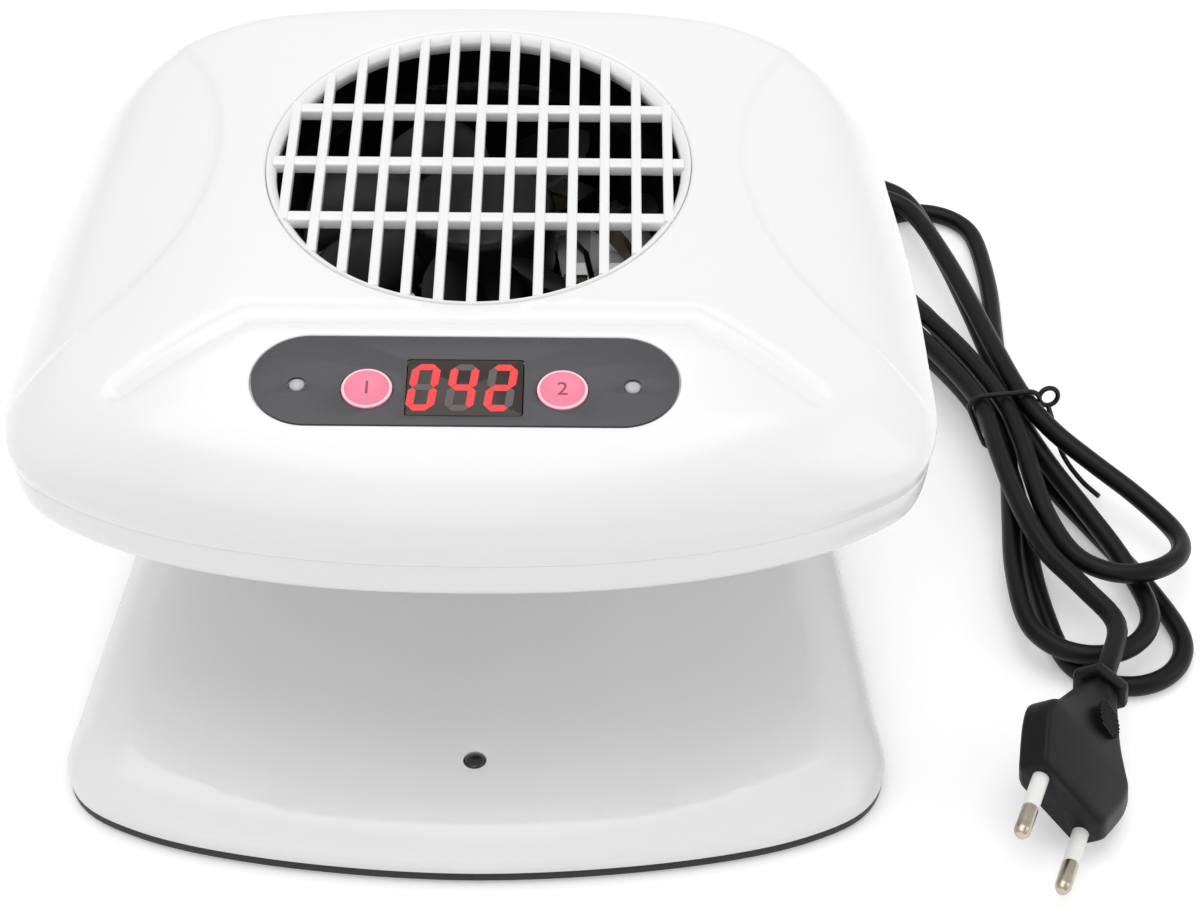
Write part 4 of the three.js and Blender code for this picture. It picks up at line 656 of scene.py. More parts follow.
bars = bar_tree()
plug_pvc = moulded(
    "plug_pvc", "0c0c0d", "08080a", 0.46, spread=0.06, grain=0.45, relief=0.03, cloud=12, specular=0.25,
)
plug_pieces = [fit(place_mesh(painted(plug_body, plug_pvc), plug_place), "cord", "plug_body")]
for side, label in ((1, "upper"), (-1, "lower")):
    ribs = grow("plug_grip_" + label, bars, GRIP_SIZES, plug_pvc)
    waist = (0, side * PLUG_HALF_THICKNESS * GRIP_HEIGHT_SHARE, -PLUG_LENGTH * GRIP_LENGTH_SHARE)
    place_mesh(ribs, plug_place @ Matrix.Translation(waist) @ Matrix.Rotation(side * -GRIP_SLOPE, 4, "X")
               @ Matrix.Rotation(math.pi / 2, 4, "X") @ Matrix.Rotation(math.pi / 2, 4, "Z"))
    plug_pieces.append(fit(smoothed(ribs, sharp=50), "cord"))

plated = moulded(
    "nickel_plate", "cfc7b6", "a89f8f", 0.24, spread=0.08, grain=0.4, relief=0.01, cloud=3, Metallic=1.0,
)
sleeve_nylon = moulded("sleeve_nylon", "f0f0ee", "e2e2df", 0.4, grain=0.4, relief=0.01, cloud=4)
pin_profile = eased([
    (0, PIN_ROOT), (PIN_RADIUS - PIN_NARROWING, PIN_ROOT), (PIN_RADIUS - PIN_NARROWING, SLEEVE_LENGTH),
    (PIN_RADIUS, SLEEVE_LENGTH + CLEARANCE), (PIN_RADIUS, PIN_LENGTH - PIN_TAPER),
    (PIN_RADIUS * PIN_TIP_SHARE, PIN_LENGTH), (0, PIN_LENGTH),
], PIN_ROUNDING)
sleeve_profile = eased([
    (0, SLEEVE_ROOT), (PIN_RADIUS, SLEEVE_ROOT), (PIN_RADIUS, SLEEVE_LENGTH - SLEEVE_BEVEL[1]),
    (PIN_RADIUS - SLEEVE_BEVEL[0], SLEEVE_LENGTH + SLEEVE_OVERLAP), (0, SLEEVE_LENGTH + SLEEVE_OVERLAP),
], SLEEVE_ROUNDING)
for number, side in enumerate((-1, 1), 1):
    stand = plug_place @ Matrix.Translation((side * PIN_HALF_SPACING, 0, 0))
    for label, profile, material, slot in (
        ("plug_pin", pin_profile, plated, "pin"), ("pin_sleeve", sleeve_profile, sleeve_nylon, "sleeve"),
    ):
        piece = place_mesh(turned(f"{label}_shown_{number}", profile, material, segments=32), stand)
        plug_pieces.append(fit(piece, slot, f"{label}_{number}"))

# ---- Cord boot ----
# The strain relief, a tapered black rubber boot that sits in a hole of the rear cover, with ribs round it
# along its length.

BOOT_FLANGE_RADIUS = 6.6
BOOT_RADIUS = 4.6
BOOT_END_RADIUS = 3.4
BOOT_WAIST_SHARE = 0.86
BOOT_START = 92.8
BOOT_FLANGE = 1.6
BOOT_LENGTH = 26
BOOT_TIP = 1.6
BOOT_TIP_START = 2
BOOT_ROUNDING = 0.4
BOOT_INSIDE = 80.6
BOOT_RIBS = {
    "Count": 6, "Length": (BOOT_LENGTH - 6.4) * MM, "First Radius": (BOOT_RADIUS - 0.75) * MM,
    "Last Radius": (BOOT_END_RADIUS - 0.6) * MM, "Thickness": 0.75 * MM,
}
BOOT_RIBS_START = 2

boot_foot = BOOT_START + BOOT_FLANGE
boot_end = boot_foot + BOOT_LENGTH
boot = turned("cord_boot", eased([
    (0, BOOT_INSIDE), (BOOT_FLANGE_RADIUS, BOOT_INSIDE), (BOOT_FLANGE_RADIUS, BOOT_INSIDE + BOOT_FLANGE),
    (BOOT_RADIUS, BOOT_INSIDE + BOOT_FLANGE), (BOOT_RADIUS, BOOT_START), (BOOT_FLANGE_RADIUS, BOOT_START),
    (BOOT_FLANGE_RADIUS, boot_foot), (BOOT_RADIUS * BOOT_WAIST_SHARE, boot_foot),
    (BOOT_END_RADIUS * BOOT_WAIST_SHARE, boot_end - BOOT_TIP_START),
    (BOOT_END_RADIUS, boot_end - BOOT_TIP), (BOOT_END_RADIUS, boot_end), (0, boot_end),
], BOOT_ROUNDING))


def rib_tree():
    """Rings along a line, which shrink from the first radius to the last."""
    tree, given = new_tree("tapered_rings", {
        "Count": 5, "Length": 10.0, "First Radius": 4.0, "Last Radius": 3.0, "Thickness": 0.6,
    })
    reach = step_node(tree, "ShaderNodeCombineXYZ", {"Z": (given, "Length")})
    row = step_node(tree, "GeometryNodeMeshLine", {
        "Count": (given, "Count"), "Offset": (reach, 0),
    }, mode="END_POINTS")
    spot = step_node(tree, "GeometryNodeInputPosition")
    height = step_node(tree, "ShaderNodeSeparateXYZ", {0: (spot, 0)})
    radius = step_node(tree, "ShaderNodeMapRange", {
        "Value": (height, "Z"), "From Max": (given, "Length"), "To Min": (given, "First Radius"),
        "To Max": (given, "Last Radius"),
    })
    size = step_node(tree, "ShaderNodeCombineXYZ", {0: (radius, 0), 1: (radius, 0), 2: 1.0})
    circle = step_node(tree, "GeometryNodeCurvePrimitiveCircle", {"Resolution": 48, "Radius": 1.0})
    placed = copied(tree, (row, 0), (circle, 0), Scale=(size, 0))
    lines = step_node(tree, "GeometryNodeRealizeInstances", {0: (placed, 0)})
    section = step_node(tree, "GeometryNodeCurvePrimitiveCircle", {
        "Resolution": 12, "Radius": (given, "Thickness"),
    })
    return ended(tree, step_node(tree, "GeometryNodeCurveToMesh", {
        "Curve": (lines, 0), "Profile Curve": (section, 0),
    }))


soft_rubber = moulded(
    "soft_rubber", "161617", "0f0f10", 0.58, spread=0.06, grain=0.35, relief=0.03, cloud=9, specular=0.3,
)
boot_stand = Matrix.Translation((CORD_EXIT[0], 0, CORD_EXIT[2])) @ Matrix.Rotation(-math.pi / 2, 4, "X")
fit(place_mesh(painted(boot, soft_rubber), boot_stand), "rubber", "strain_relief")
boot_ribs = grow("cord_boot_ribs", rib_tree(), BOOT_RIBS, soft_rubber)
place_mesh(boot_ribs, boot_stand @ Matrix.Translation((0, 0, boot_foot + BOOT_RIBS_START)))
fit(smoothed(boot_ribs, sharp=60), "rubber")

# ---- Base and column ----
# Glossy white ABS, moulded as one body with a shallow dish for the hand and a column that sweeps
# up behind it. The rear of both is a cover of its own, with a seam at each side.

SEAM_GAP = 0.3
PARTING_GAP = 0.08
WALL = 2.2
BASE_HALF_WIDTH = 98.5
BASE_FRONT = -98
BASE_REAR = 93
BASE_OUTLINE = [
    (0, -1), (0.515, -0.952), (0.804, -0.873), (0.948, -0.783), (1, -0.666), (0.985, -0.464),
    (0.938, 0.013), (0.887, 0.49), (0.845, 0.777), (0.722, 0.926), (0.464, 0.984), (0, 1),
]
SHELL_BOTTOM = 4
APRON = [
    (0, 5.4), (0.35, 6.5), (1.2, 7.5), (3, 8.95), (5, 10.4), (7, 11.6), (9, 12.6), (11, 13.5), (14, 14.8),
    (18, 16.5),
]
DISH_FLOOR = 12.3
DISH_EDGES = (35, 92)
DISH_RISE = 2.7
SWEEP_START_Y = -4
SWEEP_RADIUS = 42.2
COLUMN_HALF_WIDTH = 73
COLUMN_FLARE = 8.5
COLUMN_FRONT = -14
COLUMN_REAR = 86
COLUMN_REAR_FLARE = 3.5
COLUMN_TOP = 78.7
COLUMN_OUTLINE = [
    (0, -1), (0.6, -1), (0.9, -0.93), (1, -0.7), (1, 0.25), (0.96, 0.66), (0.83, 0.88), (0.5, 0.98), (0, 1),
]
SEAM_Y = 46
SEAM_ROUNDING = 0.7
SENSOR_Y = -70
SENSOR_RADIUS = 2.5
BOSS_RADIUS = 8
BOSS_ENDS = (80, 92.5)
BOSS_HOLLOW_RADIUS = 12
BOSS_HOLLOW_ENDS = (60, 82.4)
CORD_HOLE_ENDS = (60, 96)
BEYOND = 2
SPAN = 140
BASE_POINTS = 240
COLUMN_POINTS = 180
OUTLINE_STEPS = 24
COLUMN_STEPS = 16
DISH_STEPS = 40
SWEEP_STEPS = 40
FLOOR_STEPS = 12


def outline_of(shares, half_width, front, rear, count):
    """A smooth closed outline through mirrored points, at an even spacing."""
    middle, half_depth = (front + rear) / 2, (rear - front) / 2
    right = [Vector((x * half_width, middle + y * half_depth)) for x, y in shares]
    left = [Vector((-point.x, point.y)) for point in reversed(right[1:-1])]
    ring = [*right, *left]
    line = through([*ring[-3:], *ring, *ring[:3]], OUTLINE_STEPS)[3 * OUTLINE_STEPS:-2 * OUTLINE_STEPS]
    reaches = [0.0]
    for a, b in zip(line, line[1:]):
        reaches.append(reaches[-1] + (b - a).length)
    outline, at = [], 0
    for i in range(count):
        want = reaches[-1] * i / count
        while reaches[at + 1] < want:
            at += 1
        share = (want - reaches[at]) / (reaches[at + 1] - reaches[at])
        outline.append(line[at].lerp(line[at + 1], share))
    return outline


def inset_outline(outline, distance):
    """A closed outline moved inwards by this distance."""
    moved = []
    for i, point in enumerate(outline):
        run = (outline[(i + 1) % len(outline)] - outline[i - 1]).normalized()
        moved.append(point + Vector((-run.y, run.x)) * distance)
    return moved


def at_height(outline, height):
    """The outline's points at this height."""
    return [(point.x, point.y, height) for point in outline]


def arc_steps(count):
    """Even angles over a quarter turn."""
    return [step / count * math.pi / 2 for step in range(count + 1)]


base_outline = outline_of(BASE_OUTLINE, BASE_HALF_WIDTH, BASE_FRONT, BASE_REAR, BASE_POINTS)


def base_pad(inset):
    """The base's body under its rim and apron, or the hollow in it at this inset."""
    low = SHELL_BOTTOM - (BEYOND if inset else 0)
    rings = [at_height(inset_outline(base_outline, inset), low)]
    for run, height in APRON:
        rings.append(at_height(inset_outline(base_outline, inset + run), height - inset))
    return lofted("pad", rings)


def column_body(inset):
    """The column, waisted halfway up, or the hollow in it at this inset."""
    low = SHELL_BOTTOM - (BEYOND if inset else 0)
    high = COLUMN_TOP + (BEYOND if inset else 0)
    waist = (SHELL_BOTTOM + COLUMN_TOP) / 2
    rings = []
    for step in range(COLUMN_STEPS + 1):
        height = mixed(low, high, step / COLUMN_STEPS)
        spread = ((height - waist) / (COLUMN_TOP - waist)) ** 2
        rings.append(at_height(outline_of(
            COLUMN_OUTLINE, COLUMN_HALF_WIDTH + COLUMN_FLARE * spread - inset, COLUMN_FRONT + inset,
            COLUMN_REAR + COLUMN_REAR_FLARE * spread - inset, COLUMN_POINTS,
        ), height))
    return lofted("column", rings)


def hand_space(inset):
    """The space over the dish: flat in front, then up the column, and higher at the sides."""
    reach, far, high = BASE_HALF_WIDTH + BEYOND, BASE_FRONT - BEYOND, COLUMN_TOP + BEYOND * 2
    sections = []
    for step in range(-DISH_STEPS, DISH_STEPS + 1):
        x = reach * step / DISH_STEPS
        rise = DISH_RISE * smooth_step(abs(x), *DISH_EDGES) - inset
        radius, floor_height = SWEEP_RADIUS - rise, DISH_FLOOR + rise
        profile = [(mixed(far, SWEEP_START_Y, i / FLOOR_STEPS), floor_height) for i in range(FLOOR_STEPS)]
        for angle in arc_steps(SWEEP_STEPS):
            profile.append((
                SWEEP_START_Y + radius * math.sin(angle), floor_height + radius * (1 - math.cos(angle)),
            ))
        profile += [(SWEEP_START_Y + radius, high), (far, high)]
        sections.append([(x, y, z) for y, z in profile])
    return lofted("space", sections)


def box_of(name, low, high):
    """A box between two corners."""
    (x0, y0, z0), (x1, y1, z1) = low, high
    return lofted(name, [[(x0, y0, z), (x1, y0, z), (x1, y1, z), (x0, y1, z)] for z in (z0, z1)])


def housing_form(inset):
    """The base and the column in one, without the space for the hand."""
    whole = joined("whole", [base_pad(inset), column_body(inset)])
    return joined("whole", [whole, hand_space(inset)], "DIFFERENCE")


def edge_softened(piece, width, angle=60, steps=2):
    """Rounds the edges that are sharper than the angle."""
    soft = piece.modifiers.new("soft_edges", "BEVEL")
    soft.width = width * MM
    soft.segments = steps
    soft.limit_method = "ANGLE"
    soft.angle_limit = math.radians(angle)
    soft.use_clamp_overlap = True
    soft.miter_outer = "MITER_ARC"
    return to_mesh(piece)


white_abs = moulded(
    "white_abs", "f0f0f0", "ebebeb", 0.24, spread=0.03, grain=1.6, relief=0.006, cloud=60,
    Coat_Weight=0.2, Coat_Roughness=0.1,
)


def rod(name, radius, low, high, place):
    """A plain round body between two heights, put in its place."""
    return place_mesh(turned(name, [(0, low), (radius, low), (radius, high), (0, high)]), place)


shell_form = joined("shell", [housing_form(0), housing_form(WALL)], "DIFFERENCE")
sensor_stand = Matrix.Translation((0, SENSOR_Y, 0))
sensor_hole = rod("hole", SENSOR_RADIUS + CLEARANCE, SHELL_BOTTOM, DISH_FLOOR + BEYOND, sensor_stand)
cord_boss = rod("boss", BOSS_RADIUS, *BOSS_ENDS, boot_stand)
cord_hole = rod("hole", BOOT_RADIUS + CLEARANCE, *CORD_HOLE_ENDS, boot_stand)
boss_cut = rod("hole", BOSS_HOLLOW_RADIUS, *BOSS_HOLLOW_ENDS, boot_stand)
cord_boss = joined("boss", [cord_boss, boss_cut], "DIFFERENCE")
shell_form = joined("shell", [shell_form, cord_boss])
shell_form = joined("shell", [shell_form, sensor_hole, cord_hole], "DIFFERENCE")
for name, node, low_y, high_y in (
    ("hand_rest_shell", "hand_rest", -SPAN, SEAM_Y - SEAM_GAP / 2),
    ("rear_cover_shell", "rear_cover", SEAM_Y + SEAM_GAP / 2, SPAN),
):
    half = shell_form.copy()
    half.data = shell_form.data.copy()
    scene.collection.objects.link(half)
    half = joined(name, [half, box_of("half", (-SPAN, low_y, -SPAN), (SPAN, high_y, SPAN))], "INTERSECT")
    turn_out(half.data)
    half = smoothed(edge_softened(half, SEAM_ROUNDING, angle=34, steps=3))
    fit(painted(half, white_abs), "white", node)
bpy.data.objects.remove(shell_form)

# ---- Top cover ----
# The head's upper shell, glossy white ABS moulded in one: a low dome with a broad rounded edge,
# two sunk side panels, a soft channel across it, a recess for the label and a round inlet.

HEAD_HALF_WIDTH = 105.6
HEAD_FRONT = -84.3
HEAD_REAR = 97.2
HEAD_OUTLINE = [
    (0, -1), (0.331, -0.979), (0.625, -0.907), (0.833, -0.802), (0.956, -0.688), (1, -0.534), (1, -0.291),
    (0.988, 0.061), (0.958, 0.392), (0.931, 0.612), (0.856, 0.766), (0.691, 0.877), (0.426, 0.96), (0, 1),
]
PARTING_HEIGHT = 88.9
PARTING_TUCK = 0.8
WIDEST_HEIGHT = 93
EDGE_RUN = 19
GRILLE_HEIGHT = 121.5
GRILLE_Y = 22.1
GRILLE_TILT = math.tan(math.radians(4.2))
FRONT_TILT = math.tan(math.radians(9.5))
KNEE_Y = -33
KNEE_HEIGHT = GRILLE_HEIGHT + (KNEE_Y - GRILLE_Y) * GRILLE_TILT
KNEE_SOFTNESS = 0.8
CROWN_DROP = 13
CROWN_FLAT = 50
CROWN_WIDTH = 52.6
PANEL_RADIUS = 75
PANEL_X = 137.5
PANEL_Y = 27
PANEL_SINK = 1
PANEL_EDGE = 3.2
CHANNEL_POINTS = [(-77, -51), (-50, -31.4), (50, -31.4), (77, -51)]
CHANNEL_HALF_WIDTH = 2.7
CHANNEL_SINK = 0.9
CHANNEL_EDGE = 1.6
INLET_RADIUS = 50.5
INLET_MARGIN = 2.5
LABEL_MIDDLE = (-0.4, -51.1)
LABEL_LENGTH = 94.5
LABEL_WIDTH = 26
RECESS_DEPTH = 0.8
RECESS_LIP = [(0.4, 0), (0.18, 0.05), (0.05, 0.2), (0, 0.45), (-0.03, RECESS_DEPTH)]
PANEL_TURN = math.radians(9.5)
WINDOW_SIZE = (25.4, 15.9)
WINDOW_ROUNDING = 0.8
WINDOW_Y = -2
BUTTON_X = 21.4
BUTTON_Y = -2.6
BUTTON_RADIUS = 5.6
LAMP_X = 36.8
LAMP_Y = -1.4
LAMP_RADIUS = 1.75
INLET_PROFILE = [
    (51.7, 0), (51.3, 0.02), (50.95, 0.12), (50.7, 0.3), (50.55, 0.55), (50.5, 0.9), (50.5, 4.8), (48.2, 4.8),
    (48.2, 6.6), (52.7, 6.6), (52.7, 2.5),
]
MESH_SPACING = 2.1
LINE_SPACING = 1.2
LABEL_SPACING = 0.9
PANEL_LINES = (-0.5, -0.25, 0, 0.25, 0.5)
CHANNEL_LINES = (-0.5, -0.17, 0.17, 0.5)
CHANNEL_BEND = 0.35
CHANNEL_END_SHARE = 0.9
HEAD_POINTS = 720
RIM_POINTS = 560
HOLE_REACH = 110
OPENING_POINTS = 32
LEAST_SPACING = 0.6
TOUCH = 0.1

head_outline = outline_of(HEAD_OUTLINE, HEAD_HALF_WIDTH, HEAD_FRONT, HEAD_REAR, HEAD_POINTS)
inlet_middle = Vector((0, GRILLE_Y))
head_rim = sorted(
    ((point - inlet_middle).to_tuple() for point in head_outline), key=lambda p: math.atan2(p[1], p[0]),
)
head_angles = [math.atan2(y, x) for x, y in head_rim]
head_reaches = [math.hypot(x, y) for x, y in head_rim]


def head_reach(angle):
    """How far the head's outline lies from the inlet's middle, in this direction."""
    angle = math.remainder(angle, 2 * math.pi)
    after = bisect.bisect_left(head_angles, angle) % len(head_angles)
    before = after - 1
    span = (head_angles[after] - head_angles[before]) % (2 * math.pi)
    share = ((angle - head_angles[before]) % (2 * math.pi)) / span
    return mixed(head_reaches[before], head_reaches[after], share)


def softly(value, edge):
    """0 below minus half the edge, 1 above plus half of it."""
    return smooth_step(value, -edge / 2, edge / 2)


def line_distance(x, y, points):
    """How far a place is from a line of points."""
    least = math.inf
    for (ax, ay), (bx, by) in zip(points, points[1:]):
        run_x, run_y = bx - ax, by - ay
        share = min(max(((x - ax) * run_x + (y - ay) * run_y) / (run_x**2 + run_y**2), 0), 1)
        least = min(least, math.hypot(x - ax - share * run_x, y - ay - share * run_y))
    return least


def dome_height(x, y):
    """The height of the dome over a place: its back and its sloping front, softly joined."""
    back = GRILLE_HEIGHT + (y - GRILLE_Y) * GRILLE_TILT
    front = KNEE_HEIGHT + (y - KNEE_Y) * FRONT_TILT
    blend = max(KNEE_SOFTNESS - abs(back - front), 0) / KNEE_SOFTNESS
    over = max(0, abs(x) - CROWN_FLAT) / CROWN_WIDTH
    return min(back, front) - blend**2 * KNEE_SOFTNESS / 4 - CROWN_DROP * over**2


def dome_sink(x, y):
    """How deep the side panels and the channel lie under the dome."""
    panel = softly(PANEL_RADIUS - math.hypot(abs(x) - PANEL_X, y - PANEL_Y), PANEL_EDGE)
    channel = softly(CHANNEL_HALF_WIDTH - line_distance(x, y, CHANNEL_POINTS), CHANNEL_EDGE)
    return PANEL_SINK * panel + CHANNEL_SINK * channel


def label_offset(x, y):
    """How far a place lies outside the label recess's edge."""
    run = LABEL_LENGTH / 2 - LABEL_WIDTH / 2
    across = max(abs(x - LABEL_MIDDLE[0]) - run, 0)
    return math.hypot(across, (y - LABEL_MIDDLE[1]) / math.cos(PANEL_TURN)) - LABEL_WIDTH / 2


def lip_depth(offset):
    """How deep the cover lies under the dome at this distance outside the label recess."""
    for (far, high), (near, low) in zip(RECESS_LIP, RECESS_LIP[1:]):
        if offset >= far:
            return high
        if offset >= near:
            return mixed(low, high, (offset - near) / (far - near))
    return RECESS_DEPTH


def unrolled(x, y):
    """A place on the cover, seen from above, laid out flat with its rounded edge unrolled."""
    spot = Vector((x, y)) - inlet_middle
    depth = head_reach(math.atan2(spot.y, spot.x)) - spot.length
    if depth >= EDGE_RUN:
        return spot
    slope = math.acos(min(max(1 - depth / EDGE_RUN, -1), 1))
    return spot.normalized() * (spot.length + depth - EDGE_RUN + EDGE_RUN * (math.pi / 2 - slope))


def cover_point(spot, inset):
    """A laid-out place's point on the cover's skin, or on its inside at this inset."""
    angle, reach = math.atan2(spot.y, spot.x), spot.length
    way = Vector((math.cos(angle), math.sin(angle)))
    over = reach - (head_reach(angle) - EDGE_RUN)
    slope = math.pi / 2 - max(over, 0) / EDGE_RUN
    if over <= 0:
        plan = inlet_middle + way * reach
        rise = 1
    elif slope >= 0:
        depth = inset + (EDGE_RUN - inset) * (1 - math.cos(slope))
        plan = inlet_middle + way * (head_reach(angle) - depth)
        rise = math.sin(slope)
    else:
        below = -slope * EDGE_RUN
        share = below / (WIDEST_HEIGHT - PARTING_HEIGHT - PARTING_GAP / 2)
        plan = inlet_middle + way * (head_reach(angle) - inset - PARTING_TUCK * share)
        return Vector((*plan, WIDEST_HEIGHT - below))
    top = dome_height(*plan) - dome_sink(*plan) - lip_depth(label_offset(*plan)) - inset
    return Vector((*plan, WIDEST_HEIGHT + (top - WIDEST_HEIGHT) * rise))


def inlet_ellipse(radius):
    """A circle in the tilted plane of the inlet, seen from above, laid out flat."""
    squash = math.cos(math.atan(GRILLE_TILT))
    turn = full_turn(round(2 * math.pi * radius / LINE_SPACING))
    return [Vector((radius * math.cos(a), radius * squash * math.sin(a))) for a in turn]


def stadium(length, width, spacing):
    """The outline of a slot with round ends."""
    run, radius = (length - width) / 2, width / 2
    steps, count = round(math.pi * radius / spacing), round(2 * run / spacing)
    turn = [i / steps * math.pi for i in range(steps + 1)]
    half = [(run + radius * math.sin(a), -radius * math.cos(a)) for a in turn]
    half += [(run - 2 * run * i / count, radius) for i in range(1, count)]
    return [*half, *((-x, -y) for x, y in half)]


panel_stand = (
    Matrix.Translation((*LABEL_MIDDLE, dome_height(0, LABEL_MIDDLE[1]))) @ Matrix.Rotation(PANEL_TURN, 4, "X")
)


def in_panel(shape):
    """An outline in the label's own plane, laid out flat with the cover."""
    return [unrolled(*(panel_stand @ Vector((*point, 0)))[:2]) for point in shape]


half_x, half_y = (side / 2 for side in WINDOW_SIZE)
window_corners = [(half_x, -half_y), (half_x, half_y), (-half_x, half_y), (-half_x, -half_y)]
window_line = eased([(0, -half_y), *window_corners, (0, -half_y)], WINDOW_ROUNDING)
window_shape = [tuple(point) for point in window_line[:-1]]


def opening(middle, shape, clear):
    """The outline of an opening for a shape in the label's plane, with room round it."""
    grown = []
    for x, y in shape:
        length = math.hypot(x, y)
        grown.append((middle[0] + x * (1 + clear / length), middle[1] + y * (1 + clear / length)))
    return grown


def openings(clear):
    """The openings of the window, the two buttons and the two lamps."""
    found = [opening((0, WINDOW_Y), window_shape, clear)]
    for x, y, radius in ((BUTTON_X, BUTTON_Y, BUTTON_RADIUS), (LAMP_X, LAMP_Y, LAMP_RADIUS)):
        disc = [(radius * math.cos(a), radius * math.sin(a)) for a in full_turn(OPENING_POINTS)]
        found += [opening((side * x, y), disc, clear) for side in (-1, 1)]
    return found


def parallel_lines():
    """The lines that the cover's mesh follows, along the soft edges of its panels and its channel."""
    lines = []
    for side in (-1, 1):
        for share in PANEL_LINES:
            radius = PANEL_RADIUS + share * PANEL_EDGE
            line = []
            for step in range(round(math.pi * radius / LINE_SPACING)):
                angle = math.pi / 2 + step * LINE_SPACING / radius
                x, y = PANEL_X + radius * math.cos(angle), PANEL_Y + radius * math.sin(angle)
                spot = Vector((x, y)) - inlet_middle
                if head_reach(math.atan2(spot.y, spot.x)) - spot.length > TOUCH:
                    line.append(unrolled(side * x, y))
            lines.append(line)
    for side in (-1, 1):
        for share in CHANNEL_LINES:
            offset = side * (CHANNEL_HALF_WIDTH + share * CHANNEL_EDGE)
            corners = []
            for number, (x, y) in enumerate(CHANNEL_POINTS):
                inner = 0 < number < len(CHANNEL_POINTS) - 1
                bend, rise = (CHANNEL_BEND, 1) if inner else (0.0, CHANNEL_END_SHARE)
                corners.append((x + math.copysign(offset * bend, x), y + offset * rise))
            line = []
            for (ax, ay), (bx, by) in zip(corners, corners[1:]):
                count = round(math.hypot(bx - ax, by - ay) / LINE_SPACING)
                line += [unrolled(mixed(ax, bx, i / count), mixed(ay, by, i / count)) for i in range(count)]
            lines.append([*line, unrolled(*corners[-1])])
    return lines


def within(spot, outline):
    """Whether a flat place lies inside a closed outline."""
    inside = False
    for (ax, ay), (bx, by) in zip(outline, [*outline[1:], outline[0]]):
        if (ay > spot[1]) != (by > spot[1]) and spot[0] < (bx - ax) * (spot[1] - ay) / (by - ay) + ax:
            inside = not inside
    return inside


def flat_mesh(loops, lines, spacing):
    """Triangles between closed loops and along lines, with even points between them."""
    points, edges = [], []
    for number, line in enumerate([*loops, *lines]):
        start = len(points)
        points += line
        edges += [(start + i, start + i + 1) for i in range(len(line) - 1)]
        if number < len(loops):
            edges.append((len(points) - 1, start))
    taken = {}
    for point in points:
        taken.setdefault((int(point[0] // spacing), int(point[1] // spacing)), []).append(point)
    reach = max(abs(value) for point in loops[0] for value in point)
    rows = round(reach * 2 / (spacing * math.sqrt(3) / 2))
    for row in range(rows):
        y = -reach + row * spacing * math.sqrt(3) / 2
        for column in range(round(reach * 2 / spacing)):
            x = -reach + (column + row % 2 / 2) * spacing
            home = (int(x // spacing), int(y // spacing))
            cells = [(home[0] + i, home[1] + j) for i in (-1, 0, 1) for j in (-1, 0, 1)]
            near = [point for cell in cells for point in taken.get(cell, [])]
            clear = all(math.hypot(p[0] - x, p[1] - y) > spacing * LEAST_SPACING for p in near)
            if clear and within((x, y), loops[0]):
                points.append(Vector((x, y)))
    vertices, _, faces, *_ = geometry.delaunay_2d_cdt(points, edges, [], 1, 1e-4, False)
    kept = []
    for face in faces:
        middle = sum((vertices[i] for i in face), Vector((0, 0))) / len(face)
        if not any(within(middle, hole) for hole in loops[1:] if (middle - hole[0]).length < HOLE_REACH):
            kept.append(face)
    return vertices, kept


rim = outline_of(HEAD_OUTLINE, HEAD_HALF_WIDTH, HEAD_FRONT, HEAD_REAR, RIM_POINTS)
angles = [math.atan2(point.y - GRILLE_Y, point.x) for point in rim]
tuck_depth = WIDEST_HEIGHT - PARTING_HEIGHT - PARTING_GAP / 2
rim_reach = EDGE_RUN * (math.pi / 2 - 1) + tuck_depth
cover_loops = [
    [Vector((math.cos(a), math.sin(a))) * (head_reach(a) + rim_reach) for a in angles],
    inlet_ellipse(INLET_RADIUS + INLET_MARGIN),
]
cover_loops += [in_panel(outline) for outline in openings(CLEARANCE)]
widest_line = [Vector((math.cos(a), math.sin(a))) * (head_reach(a) + rim_reach - tuck_depth) for a in angles]
cover_lines = [[*widest_line, widest_line[0]], *parallel_lines()]
for offset, _ in RECESS_LIP:
    line = in_panel(stadium(LABEL_LENGTH + 2 * offset, LABEL_WIDTH + 2 * offset, LABEL_SPACING))
    cover_lines.append([*line, line[0]])
flat, triangles = flat_mesh(cover_loops, cover_lines, MESH_SPACING)
used = sorted({i for face in triangles for i in face})
place_of = {old: new for new, old in enumerate(used)}
skin = [cover_point(flat[i], 0) for i in used]
lining = [cover_point(flat[i], WALL) for i in used]
cover_faces = [tuple(place_of[i] for i in face) for face in triangles]
counted = {}
for face in cover_faces:
    for a, b in zip(face, (*face[1:], face[0])):
        counted[(a, b)] = (b, a)
border = [edge for edge in counted if counted[edge] not in counted]
vertices = [*skin, *lining]
faces = [*cover_faces, *(tuple(len(skin) + i for i in reversed(face)) for face in cover_faces)]
inlet_turn = math.atan(GRILLE_TILT)
inlet_stand = Matrix.Translation((0, GRILLE_Y, GRILLE_HEIGHT)) @ Matrix.Rotation(inlet_turn, 4, "X")
tilt = Matrix.Rotation(inlet_turn, 3, "X")
around = {}
